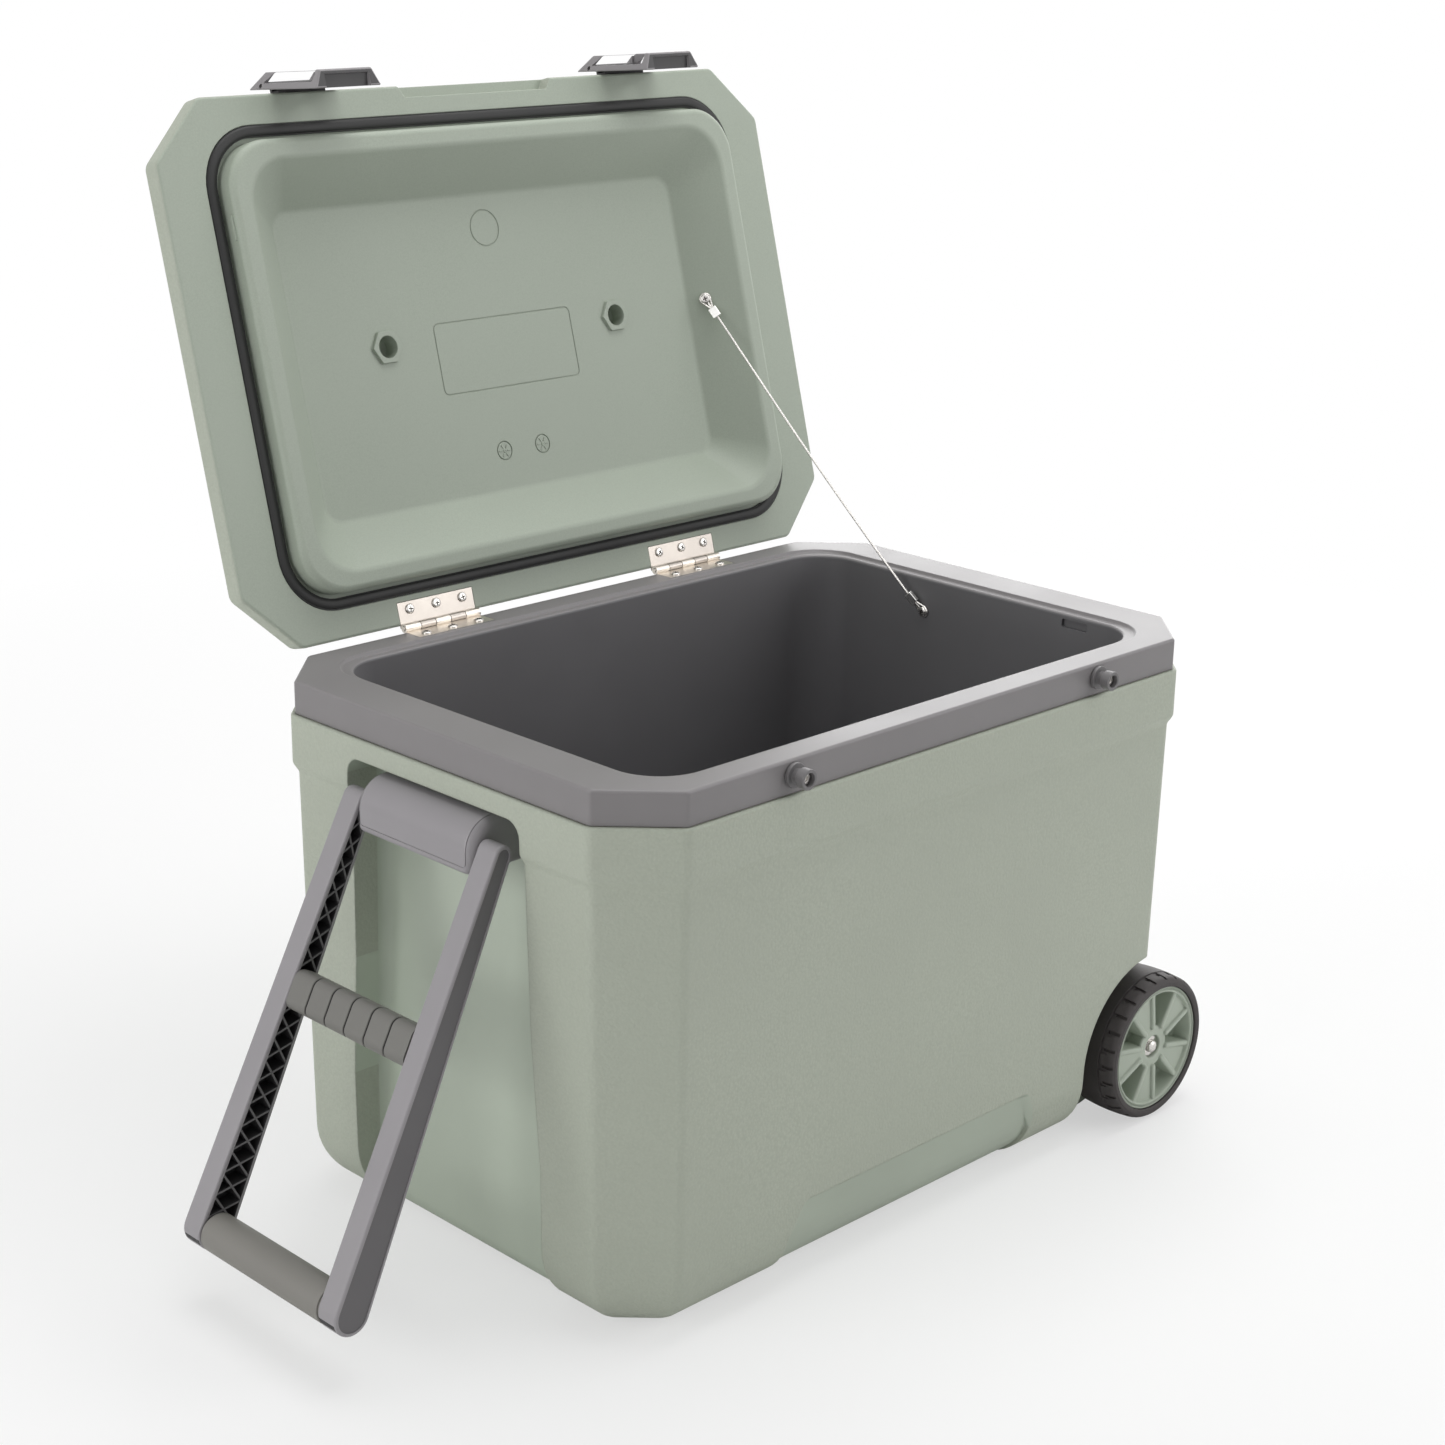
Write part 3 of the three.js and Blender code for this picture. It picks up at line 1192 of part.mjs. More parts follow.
function hub() {
  const outer = tyreBore - gap;
  const face = wheelFace - hubFaceInset;
  const boreRadius = axleRadius + run;
  const webAt = face - hubWebInset;
  const bossFace = wheelFace - hubBossInset;
  const hubInner = archInner + hubSideGap;
  const profile = [
    [boreRadius, hubInner], [hubBossRadius, hubInner], [hubBossRadius, webAt - hubWeb],
    [outer - hubRim, webAt - hubWeb], [outer - hubRim, wheelInner], [outer, wheelInner],
    [outer, face], [outer - hubRim, face], [outer - hubRim, webAt], [hubBossRadius, webAt],
    [hubBossRadius, bossFace], [boreRadius, bossFace], [boreRadius, hubInner],
  ];
  let solid = lathe(profile);
  const spokeLength = outer - hubBossRadius - hubRim / 2;
  let spokes = null;
  for (let i = 0; i < spokePairs; i += 1) {
    [-1, 1].forEach((hand) => {
      const spoke = new THREE.BoxGeometry(spokeLength, spokeDepth, spokeWidth);
      spoke.rotateY(hand * spokeTurnShare);
      spoke.translate(hubBossRadius - rootIn + spokeLength / 2,
        bossFace - spokeDepth / 2 + spokeProud, hand * spokeSpread);
      spoke.rotateY((i / spokePairs) * 2 * Math.PI);
      spoke.translate(...axleLine);
      spokes = spokes === null ? toSolid(spoke) : spokes.add(toSolid(spoke));
    });
  }
  const bound = cylinder(outer - hubRim / 2, 'y', webAt - hubWeb / 2, face, axleLine, fine)
    .subtract(cylinder(hubBossRadius - cut, 'y', webAt - hubWeb, face + cut, axleLine, fine));
  return solid.add(spokes.intersect(bound));
}
const tyreBack = tyre();
const hubBack = hub();
const clipBack = cylinder(clipRadius, 'y', wheelFace - hubBossInset + gap,
  wheelFace - hubBossInset + gap + clipThickness, axleLine)
  .subtract(cylinder(axleRadius + gap / 2, 'y', 0, wheelFace, axleLine));
add('tyre_back', tyreBack, 'tyre');
add('tyre_front', mirroredY(tyreBack), 'tyre');
add('wheel_hub_back', hubBack, 'green');
add('wheel_hub_front', mirroredY(hubBack), 'green');
add('axle_clip_back', clipBack, 'steel');
add('axle_clip_front', mirroredY(clipBack), 'steel');

export default cooler;
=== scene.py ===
# Looks of the wheeled cooler: detailed pieces and materials around the fixed frame.
# The frame is in metres, the builders below take millimetres, +Z up, -X the handle end,
# -Y the latch side.

import math

import bmesh
import bpy
from mathutils import Matrix, Vector


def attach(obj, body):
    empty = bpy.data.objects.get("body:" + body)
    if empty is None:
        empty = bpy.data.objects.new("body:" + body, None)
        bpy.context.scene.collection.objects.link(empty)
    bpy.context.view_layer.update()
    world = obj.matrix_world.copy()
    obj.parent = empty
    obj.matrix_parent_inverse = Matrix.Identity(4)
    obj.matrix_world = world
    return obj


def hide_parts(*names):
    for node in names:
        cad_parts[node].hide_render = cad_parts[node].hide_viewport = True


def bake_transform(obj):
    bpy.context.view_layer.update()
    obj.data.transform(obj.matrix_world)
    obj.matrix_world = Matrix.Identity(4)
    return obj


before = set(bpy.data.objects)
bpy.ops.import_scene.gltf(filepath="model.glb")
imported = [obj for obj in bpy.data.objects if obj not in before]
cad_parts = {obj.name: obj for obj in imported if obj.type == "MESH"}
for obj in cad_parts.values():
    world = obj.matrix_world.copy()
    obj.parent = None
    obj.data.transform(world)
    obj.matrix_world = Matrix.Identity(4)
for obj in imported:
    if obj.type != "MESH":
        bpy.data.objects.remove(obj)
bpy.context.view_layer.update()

MM = 0.001
# Cuts run on past the faces that they open; painting tests leave some room round a face
CUT, FAR, NEAR, CLOSE, HAIR = 1.0, 20.0, 1.0, 0.1, 0.01
# Neighbouring faces within so many degrees count as flat
FLAT, FINE_FLAT, DRESS_FLAT = 0.4, 0.2, 1.0
# How squarely a face looks at a direction, as the part of its normal that lies along it
FACING_SHARE, SQUARE_SHARE, SIDEWAYS_SHARE = 0.6, 0.9, 0.3

# Tub
HALF_LENGTH, HALF_WIDTH, RIM_TOP = 300.0, 199.35, 400.0
CHAMFER, CORNER_ROUND, CORNER_STEPS = 44.0, 11.0, 6
OCTAGON_SHARE = 2 - math.sqrt(2)
RIM_HEIGHT, RIM_GAP, RIM_BEVEL, RIM_CORNER = 24.0, 0.3, 2.2, 5.0
COLLAR_OUT, COLLAR_DROP, COLLAR_FOOT, COLLAR_EDGE = 3.2, 59.5, 69.5, 1.6
WALL_IN, FOOT_IN, FOOT_RADIUS, SKIN, SHELL_SOFT = 0.9, 4.2, 54.0, 3.4, 1.8
MOUTH_X, MOUTH_Y, MOUTH_RADIUS, MOUTH_LIP, MOUTH_DRAFT = 255.0, 169.0, 36.0, 2.6, 1.0
LEDGE_X, LEDGE_Y, LEDGE_RADIUS, LEDGE_DEPTH = 263.0, 177.0, 40.0, 2.4
LEDGE_FILLET, LEDGE_FILLET_SHARE, LEDGE_EDGE = 1.4, 0.7, 0.5
LINER_WALL, LINER_DRAFT, CAVITY_FLOOR, CAVITY_ROUND = 3.0, 7.0, 40.0, 14.0
INSIDE_REACH, INSIDE_DROP = 3.4, 1.2
SHELF_X, SHELF_Z, SHELF_ROUND = 165.0, 158.0, 12.0
SLOT_Y, SLOT_HALF, SLOT_LOW, SLOT_HIGH = -105.0, 12.5, 387.0, 393.5
SLOT_START, SLOT_DEEP, SLOT_ROUND = 6.0, 2.6, 1.4

# Recess for the handle, with its half widths at four heights, wheel arches and foot panels
RECESS_FLOOR, RECESS_TOP, RECESS_ROUND, RECESS_CORNER = -270.0, 361.0, 8.0, 12.0
RECESS_HALVES = ((RECESS_TOP, 91.0), (207.0, 95.0), (114.0, 102.0), (0.0, 102.0))
RECESS_FOOT, RECESS_WIDEN_SHARE, RECESS_LIP = 19.0, 0.045, 30.0
ARCH_X, ARCH_Z, ARCH_RADIUS, ARCH_TOP, ARCH_INNER = 260.0, 60.0, 79.0, 143.0, 152.0
ARCH_FLAT, ARCH_LIP = 4.0, 5.35
PANEL_INSET, PANEL_DEEP, PANEL_ROUND, PANEL_SLOPE = 4.6, 132.0, 9.0, 12.0
PANEL_RISE_SHARE, PANEL_LIFT, PANEL_LIP = 0.35, 1.6, 1.5
PANEL_TOP, PANEL_KNEE, PANEL_FOOT = 65.0, 34.0, -30.0
PANEL = ((-127.0, PANEL_TOP), (107.0, PANEL_TOP), (120.0, PANEL_KNEE), (120.0, PANEL_FOOT),
         (-148.0, PANEL_FOOT), (-148.0, PANEL_KNEE))

# Lid, in its closed place
LID_OPEN = math.radians(105.13)
HINGE_Y, HINGE_Z = 201.6, 402.2
LID_X, LID_Y, LID_UNDER, LID_SIDE, LID_HEIGHT, LID_BEVEL = 299.6, 199.5, 405.2, 15.0, 38.0, 23.0
LID_EDGE, LID_SKIN, LID_CORNER, LID_TURN, LID_TURN_SHARE, LID_SOFT = 2.4, 3.0, 9.0, 4.0, 0.41, 1.0
GASKET_X, GASKET_Y, GASKET_RADIUS, GASKET_WIDTH = 261.6, 177.3, 46.0, 8.5
GASKET_PROUD, GASKET_DEEP, GASKET_IN, GASKET_STEP, GAP = 1.6, 2.8, 0.6, 0.2, 0.3
GASKET_SEAT, LID_UNDER_ROOM = 12.0, 10.0
PLUG_X, PLUG_Y, PLUG_RADIUS, PLUG_DEPTH, PLUG_EDGE = 250.6, 165.4, 36.0, 14.9, 5.0
FLANGE_X, FLANGE_Y, PLUG_TURN_SHARE = 269.6, 178.3, 0.4
POCKET_X, POCKET_Y, POCKET_RADIUS = 235.3, 151.1, 34.0
FLOOR_X, FLOOR_Y, FLOOR_RADIUS, FLOOR_DEPTH, LEAST_RADIUS = 200.0, 115.8, 14.0, 18.9, 10.0
POCKET_LIP, POCKET_FILLET, POCKET_IN, FOAM_EASE = 7.0, 6.0, 7.0, 4.0
PORT_X, PORT_Y, PORT_RADIUS, PORT_HOLE, PORT_HEIGHT = 117.0, -8.0, 14.0, 8.6, 2.6
PORT_SOFT, CUP_WALL, CUP_DEEP, HOLE_DEEP = 0.7, 2.4, 13.4, 12.0
GRAB_HALF, GRAB_FLOOR, GRAB_INSET, GRAB_DEPTH, GRAB_WALL = 76.0, 70.0, 9.0, 9.0, 4.0
TAB_Y, TAB_HALF, TAB_OUT, TAB_DROP, TAB_RISE, TAB_SOFT = -105.0, 9.0, 1.6, 8.6, 1.0, 0.6
TAB_START = 4.0

# In the lid's pocket: the sunken line of a bare panel, ring marks as place, radius and depth,
# and a moulder's stamp with raised ticks inside the smaller rings
NOTE_Y, NOTE_LOW, NOTE_DEEP = 7.5, 0.6, 0.45
NOTE_OUTSIDE, NOTE_INSIDE = (70.0, 28.0, 5.0), (69.1, 27.1, 4.2)
STAMPS = ((-21.3, 84.5), (18.1, 84.3))
MARKS = (((-1.7, -89.3), 14.0, 0.5), (STAMPS[0], 7.2, 0.9), (STAMPS[1], 7.2, 0.9))
MARK_HALF = 0.45
STAMP_BORE, STAMP_NECK, STAMP_RADIUS, STAMP_SUNK, STAMP_STEP = 0.3, 1.3, 1.6, 0.5, 0.2
STAMP_RISE, TICKS, TICK_START, TICK_END, TICK_HALF = 0.4, 6, 2.4, 5.4, 0.45

# Hinges, screws and the stay cable
HINGE_X, SCREW_STEP, SCREW_Y = 129.3, 25.3, 188.0
LEAF_HALF, LEAF_BACK, LEAF_SEAT, KNUCKLE_SEAT = 36.4, 181.9, 1.5, 3.6
SCREW_HEAD, SCREW_RISE, SHANK, SHANK_LENGTH, SHANK_NECK, HEAD_UNDER = 3.8, 1.7, 1.7, 8.0, 0.2, 0.15
# The dome of a screw head, as shares of its radius and its rise
HEAD_CROWN_SHARES = ((0.97, 0.62), (0.9, 0.78), (0.78, 0.9), (0.6, 0.97), (0.3, 1.0))
HEAD_SIDE_SHARE, CROSS_WIDE_SHARE, CROSS_LONG_SHARE = 0.45, 0.13, 0.52
CROSS_DEEP, CROSS_TURN = 1.1, 0.5
LID_EYE, LID_EYE_NORMAL = (211.7, -10.5, 412.89), (-23.8, 0, -24.9)
TUB_EYE, TUB_EYE_NORMAL = (254.0, 48.5, 370.0), (-1, 0, 0)
EYE_RISE, EYE_REACH, CABLE_LEAD, CABLE_SAG, LEAD_LIFT_SHARE = 1.4, 4.3, 11.0, 5.0, 0.3
CABLE_RADIUS, CABLE_STEP, STRANDS, STRAND_SHARE, LAY_LENGTH = 1.0, 1.1, 6, 0.16, 9.0
SLEEVE_START, SLEEVE_LENGTH, SLEEVE_HALF, SLEEVE_FLAT, SLEEVE_SOFT = 5.5, 9.5, 3.7, 1.9, 0.7
EYE_LOOP, EYE_WIRE, STAY_HEAD, STAY_RISE, STAY_SEAT = 4.2, 1.0, 3.9, 2.0, 0.5

# Latches, from the pin: down the latch is -Z and outwards is -Y
LATCH_X, LATCH_PIN, LATCH_FLOP = 161.0, (-207.0, 420.2), math.radians(10.4)
LATCH_INNER, LATCH_OUTER, LATCH_TOP, LATCH_TOP_OUT = 2.6, 10.5, 14.3, -1.2
LATCH_LOW, LATCH_LOW_OUT, LATCH_HALF, LATCH_HALF_OUT = 69.7, 66.8, 29.5, 23.3
LATCH_RAIL, LATCH_EAR, LATCH_EAR_OUT, LATCH_WALL = 2.0, 2.2, 13.0, 62.1
LATCH_TRAY, LATCH_TRAY_TOP, BASE_HALF, HEEL_LOW = 23.5, 1.5, 21.3, 3.6
LATCH_HOLE, LATCH_HOLE_DOWN, LATCH_BORE, LATCH_SKIN = 7.8, 31.4, 1.8, 1.0
LATCH_SOFT, WINDOW_SOFT, UNDER_SOFT, UNDER_WALL, UNDER_SKIN = 1.4, 1.6, 1.2, 3.4, 3.0

# Handle bracket and handle; from the pivot down the arms is -Z and outwards is -X
BLOCK_FRONT, BLOCK_BACK, BLOCK_HALF = -320.0, -270.3, 61.6
BLOCK_TOP, BLOCK_LOW, BLOCK_ROUND, BLOCK_LOW_ROUND, BLOCK_END = 357.0, 319.0, 22.0, 3.5, 8.0
INSET_LINE, LINE_WIDTH, LINE_DEPTH, LINE_ROUND, LINE_END = 5.0, 0.5, 0.5, 3.0, 12.0
PIVOT_X, PIVOT_Z, TILT = -308.0, 336.5, math.radians(26.9)
PIN_DEEP, PIN_ROOM = 6.3, 4.4
ARM_TOP_RADIUS, ARM_FOOT_RADIUS, ARM_LENGTH, ARM_INNER, ARM_THICK = 7.4, 14.4, 312.5, 62.6, 19.1
FOOT_SHIFT = ARM_FOOT_RADIUS - ARM_TOP_RADIUS
ARM_WALL, ARM_POCKET, ARM_RIB, ARM_RIBS, ARM_SPLAY_SHARE = 3.2, 14.0, 1.5, 18, 0.01464
ARM_SOFT, RIB_SUNK, ARM_BOSS, FOOT_BOSS, FOOT_BOSS_SUNK = 1.7, 0.5, 5.8, 12.8, 3.0
SIDE_RIM, SIDE_INSET = 2.6, 0.7
BAR_TOP, BAR_HEIGHT, BAR_DEPTH, BAR_ROUND, BAR_PARTS = 122.8, 28.6, 20.0, 7.0, 6
BAR_GROOVE, BAR_GROOVE_DEPTH, BAR_EDGE, BAR_END = 1.1, 1.4, 0.5, 3.0
BAR_FLOOR_SHARE, BAR_DARK_SHARE = 0.6, 0.9
GRIP_RADIUS, GRIP_NECK, GRIP_COLLAR, GRIP_EDGE = 14.2, 1.2, 1.0, 0.8

# Wheels, measured from the outer face of the tyre
WHEEL_X, WHEEL_Z, WHEEL_FACE, WHEEL_RADIUS, TYRE_WIDTH = 263.0, 60.0, 206.0, 60.0, 46.0
TYRE_BORE, SIDEWALL, BLOCKS, BLOCK_REACH, NOTCH = 51.3, 56.0, 26, 13.0, 2.6
CROWN, SHOULDER, BACK_STEP, FACE_STEP, BORE_EDGE, WALL_EDGE = 1.8, 6.5, 2.0, 0.6, 1.2, 0.8
# The groove between the tread and the blocks: place past the seam and depth
SEAM_START, SEAM_GROOVE = 1.4, ((-0.9, 1.3), (-0.1, 1.3), (0.4, 0.0))
NOTCH_IN, NOTCH_LEAD, STEP_DEEP, STEP_START, STEP_END, STEP_SHARE = 1.2, 2.0, 1.6, 0.2, 6.0, 1.4
HUB_FACE = WHEEL_FACE - 2.0
HUB_RADIUS, HUB_RIM, HUB_DISC, SPOKES, WELL_START = 51.0, 4.6, 17.5, 5, math.radians(-6)
HUB_BORE, HUB_BOSS, HUB_BACK, HUB_RIM_BACK, HUB_WEB = 5.4, 11.5, 153.0, 161.0, 3.0
# The groove round the hub's rim: distance in from the rim and depth
RIM_GROOVE, HUB_EDGE, HUB_STEP = ((1.4, 0.0), (1.7, 1.6), (2.5, 1.6), (2.9, 0.2)), 0.6, 0.2
DISC_FOOT, DISC_EDGE, DISC_SUNK, CAP_RADIUS, CAP_EDGE, CAP_DEEP = 2.0, 0.8, 3.2, 9.3, 0.5, 7.2
WELL_HALF, WELL_DEEP, WELL_ROUND = math.radians(19), 17.0, 3.0
SPOKE_RIB, SPOKE_SUNK, SPOKE_ROOT, SPOKE_LAP, SPOKE_SOFT, SPOKE_LOW = 4.2, 3.2, 1.5, 0.8, 1.2, 1.0
CLIP_INNER, CLIP_OUTER, CLIP_THICK, CLIP_DEEP, CLIP_SOFT = 5.2, 8.4, 1.4, 6.9, 0.25
AXLE_RADIUS, AXLE_END, AXLE_DOME, DOME_ANGLES = 5.0, 3.2, 2.4, (8, 30, 50, 70, 90)


# Outlines
def rounded(corners, radius, steps):
    """Points of a convex outline with its corners rounded."""
    points = []
    count = len(corners)
    for i, corner in enumerate(corners):
        corner = Vector(corner)
        before = (Vector(corners[i - 1]) - corner).normalized()
        after = (Vector(corners[(i + 1) % count]) - corner).normalized()
        half = math.acos(max(-1, min(1, before.dot(after)))) / 2
        centre = corner + (before + after).normalized() * (radius / math.sin(half))
        spoke = corner + before * (radius / math.tan(half)) - centre
        hand = 1 if before.x * after.y - before.y * after.x < 0 else -1
        turn = hand * (math.pi - 2 * half)
        for s in range(steps + 1):
            angle = turn * s / steps
            points.append((centre.x + spoke.x * math.cos(angle) - spoke.y * math.sin(angle),
                           centre.y + spoke.x * math.sin(angle) + spoke.y * math.cos(angle)))
    return points


def filleted(points, radii, steps):
    """An open line of points with round turns of the given radii."""
    made = []
    for i, (point, radius) in enumerate(zip(points, radii)):
        if not radius:
            made.append(tuple(point))
            continue
        corner = Vector(point)
        before = (Vector(points[i - 1]) - corner).normalized()
        after = (Vector(points[i + 1]) - corner).normalized()
        half = before.angle(after) / 2
        centre = corner + (before + after).normalized() * (radius / math.sin(half))
        start = corner + before * (radius / math.tan(half)) - centre
        end = corner + after * (radius / math.tan(half)) - centre
        sweep = start.angle_signed(end)
        for s in range(steps + 1):
            turn = -sweep * s / steps
            made.append((centre.x + start.x * math.cos(turn) - start.y * math.sin(turn),
                         centre.y + start.x * math.sin(turn) + start.y * math.cos(turn)))
    return made


def octagon(x, y, out, radius, z):
    """Ring of the case's eight-sided outline, set out on all its sides, at height z."""
    x, y, chamfer = x + out, y + out, CHAMFER + OCTAGON_SHARE * out
    corners = ((x - chamfer, -y), (x, chamfer - y), (x, y - chamfer), (x - chamfer, y),
               (chamfer - x, y), (-x, y - chamfer), (-x, chamfer - y), (chamfer - x, -y))
    return at_z(rounded(corners, min(radius, chamfer), CORNER_STEPS), z)


def rectangle(x, y, radius, steps=12):
    return rounded(((x, -y), (x, y), (-x, y), (-x, -y)), radius, steps)


def at_z(outline, z):
    return [(x, y, z) for x, y in outline]


def round_at(x, y, radius, start=0, end=345, steps=23):
    """Points of an arc round a middle, or of a whole circle."""
    return [(x + radius * c, y + radius * s) for c, s in arc(start, end, steps)]


def arc(a, b, steps):
    """Pairs of cosine and sine from angle a to angle b, in degrees."""
    for s in range(steps + 1):
        angle = math.radians(a + (b - a) * s / steps)
        yield math.cos(angle), math.sin(angle)


# Meshes
def new_object(name, points, faces, *materials):
    mesh = bpy.data.meshes.new(name)
    mesh.from_pydata([Vector(p) * MM for p in points], [], faces)
    for material in materials:
        mesh.materials.append(material)
    obj = bpy.data.objects.new(name, mesh)
    bpy.context.collection.objects.link(obj)
    outward(obj)
    return obj


def outward(obj):
    work = bmesh.new()
    work.from_mesh(obj.data)
    bmesh.ops.recalc_face_normals(work, faces=work.faces)
    work.to_mesh(obj.data)
    work.free()


def loft(name, rings, *materials, ring=False):
    """Closed form through rings of points; ring=True joins the last ring to the first."""
    count = len(rings[0])
    points = [p for r in rings for p in r]
    faces = []
    total = len(rings)
    for i in range(total if ring else total - 1):
        a, b = i * count, ((i + 1) % total) * count
        for j in range(count):
            k = (j + 1) % count
            faces.append((a + j, a + k, b + k, b + j))
    if not ring:
        faces.append(tuple(range(count))[::-1])
        faces.append(tuple(range((total - 1) * count, total * count)))
    return new_object(name, points, faces, *materials)


def prism(name, outline, a, b, axis, *materials):
    """Outline pushed along an axis: its points are (x, y), (x, z) or (y, z)."""
    place = {"z": lambda p, d: (p[0], p[1], d),
             "y": lambda p, d: (p[0], d, p[1]),
             "x": lambda p, d: (d, p[0], p[1])}[axis]
    return loft(name, [[place(p, a) for p in outline], [place(p, b) for p in outline]], *materials)


def round_axis(axis, across, other, along, centre):
    """A point beside an axis through the centre: two distances across it and one along it."""
    local = {"x": (along, across, other), "y": (across, along, other), "z": (across, other, along)}
    return tuple(Vector(local[axis]) + Vector(centre))


def lathe(name, profile, centre, axis, sides, *materials):
    """Profile of (radius, place along the axis), turned round the axis; a closed profile."""
    rings = []
    for i in range(sides):
        angle = 2 * math.pi * i / sides
        c, s = math.cos(angle), math.sin(angle)
        rings.append([round_axis(axis, r * c, r * s, along, centre) for r, along in profile])
    return loft(name, rings, *materials, ring=True)


def turned(name, profile, centre, axis, sides, *materials):
    """Solid of revolution through (radius, place along the axis), with flat ends."""
    angles = [2 * math.pi * i / sides for i in range(sides)]
    rings = [[round_axis(axis, r * math.cos(a), r * math.sin(a), along, centre) for a in angles]
             for r, along in profile]
    return loft(name, rings, *materials)


def disc(name, radius, a, b, centre, axis):
    return turned(name, [(radius, a), (radius, b)], centre, axis, 48)


def block(name, low, high, *materials):
    outline = ((low[0], low[1]), (high[0], low[1]), (high[0], high[1]), (low[0], high[1]))
    return prism(name, outline, low[2], high[2], "z", *materials)


def applied(obj):
    """The object with its modifiers made part of its mesh."""
    bpy.context.view_layer.update()
    graph = bpy.context.evaluated_depsgraph_get()
    mesh = bpy.data.meshes.new_from_object(obj.evaluated_get(graph))
    old = obj.data
    obj.modifiers.clear()
    obj.data = mesh
    bpy.data.meshes.remove(old)
    return obj


def combine(obj, other, how):
    modifier = obj.modifiers.new("combine", "BOOLEAN")
    modifier.operation = how
    modifier.object = other
    modifier.solver = "MANIFOLD"
    applied(obj)
    bpy.data.objects.remove(other)
    return obj


def cut(obj, *others):
    for other in others:
        combine(obj, other, "DIFFERENCE")
    return obj


def join(obj, *others):
    for other in others:
        combine(obj, other, "UNION")
    return obj


def clean(obj, angle, merge=5 * HAIR):
    """Joins flat neighbouring faces and points that are nearly one."""
    work = bmesh.new()
    work.from_mesh(obj.data)
    bmesh.ops.remove_doubles(work, verts=work.verts, dist=merge * MM)
    bmesh.ops.dissolve_limit(work, angle_limit=math.radians(angle), verts=work.verts,
                             edges=work.edges, use_dissolve_boundaries=False)
    work.to_mesh(obj.data)
    work.free()
    return obj


def soften(obj, width, segments=3, angle=32):
    modifier = obj.modifiers.new("soften", "BEVEL")
    modifier.width = width * MM
    modifier.segments = segments
    modifier.limit_method = "ANGLE"
    modifier.angle_limit = math.radians(angle)
    modifier.miter_outer = "MITER_ARC"
    modifier.use_clamp_overlap = True
    return applied(obj)


def smooth(obj, sharp):
    obj.data.shade_smooth()
    obj.data.set_sharp_from_angle(angle=math.radians(sharp))
    modifier = obj.modifiers.new("even", "WEIGHTED_NORMAL")
    modifier.keep_sharp = True
    modifier.weight = 100
    return obj


def placed(obj, body, slot, *nodes, sharp=40):
    """Finishes a piece: smooth shading, its body, and hides the frame nodes it stands for; slot is
    not used.
    """
    filled(obj)
    smooth(obj, sharp)
    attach(obj, body)
    if nodes:
        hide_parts(*nodes)


def opened(obj):
    """Turns a piece built in the lid's closed place to the open lid."""
    obj.data.transform(open_turn(MM))
    return obj


def moved(obj, place, angle=0.0, axis="Z"):
    """Turns a piece about an axis through the origin, then moves it to its place in mm."""
    obj.data.transform(Matrix.Translation(Vector(place) * MM) @ Matrix.Rotation(angle, 4, axis))
    return obj


def mirrored(obj):
    """The piece with its front and back swapped."""
    obj.data.transform(Matrix.Scale(-1, 4, (0, 1, 0)))
    obj.data.flip_normals()
    return obj


def open_turn(scale):
    """The lid's turn about its hinge, for places in mm times the scale."""
    hinge = Vector((0, HINGE_Y, HINGE_Z)) * scale
    return (Matrix.Translation(hinge) @ Matrix.Rotation(-LID_OPEN, 4, "X")
            @ Matrix.Translation(-hinge))


def filled(obj):
    """Gives the faces that a cut left without a material the piece's first one."""
    mesh = obj.data
    bare = [i for i, material in enumerate(mesh.materials) if material is None]
    for face in mesh.polygons:
        if face.material_index in bare:
            face.material_index = 0
    for i in reversed(bare):
        mesh.materials.pop(index=i)


def paint(obj, index, wanted):
    """Gives material number index to the faces whose middle, in mm, and normal pass the test."""
    for face in obj.data.polygons:
        if wanted(face.center / MM, face.normal):
            face.material_index = index


# Materials: scales of their noises per metre, ramps as where they start and end, depths in mm
CLOUD_SCALE, HAZE_SCALE, BRUSH_SCALE, SMUDGE_SCALE, WARP_SHARE = 9, 2600, 700, 60, 0.8
MIDDLE_RAMP, SMUDGE_RAMP, DIP_RAMP = (0.3, 0.7), (0.35, 0.7), (0.55, 1.3)
CORNER_RAMP, POINTED_RAMP = (0.985, 0.85), (0.52, 0.6)
WEAR_HIGHLIGHT_SHARE, DIP_SHARE, SMUDGE_SHARE, WEAR_HIGHLIGHT_GAIN = 1.22, 0.93, 0.92, 5
HAZE_DEPTH, HAZE_SHARE, BRUSH_DEPTH, BRUSH_SHARE, SPECULAR_SHARE = 0.02, 0.6, 0.01, 0.5, 0.4


def nodes_of(name):
    material = bpy.data.materials.new(name)
    material.use_nodes = True
    tree = material.node_tree
    return material, tree, tree.nodes["Principled BSDF"]


def texture(tree, kind, scale, **settings):
    node = tree.nodes.new(kind)
    place = tree.nodes.get("place") or tree.nodes.new("ShaderNodeTexCoord")
    place.name = "place"
    tree.links.new(place.outputs["Object"], node.inputs["Vector"])
    node.inputs["Scale"].default_value = scale
    for key, value in settings.items():
        if key in node.inputs:
            node.inputs[key].default_value = value
        else:
            setattr(node, key, value)
    return node


def mixed(tree, factor, first, second):
    node = tree.nodes.new("ShaderNodeMix")
    node.data_type = "RGBA"
    for socket, value in ((node.inputs[6], first), (node.inputs[7], second)):
        if isinstance(value, bpy.types.NodeSocket):
            tree.links.new(value, socket)
        else:
            socket.default_value = (*value, 1)
    tree.links.new(factor, node.inputs[0])
    return node.outputs[2]


def ramp(tree, value, low, high, bottom=0.0, top=1.0):
    node = tree.nodes.new("ShaderNodeMapRange")
    node.inputs["From Min"].default_value = low
    node.inputs["From Max"].default_value = high
    node.inputs["To Min"].default_value = bottom
    node.inputs["To Max"].default_value = top
    tree.links.new(value, node.inputs["Value"])
    return node.outputs["Result"]


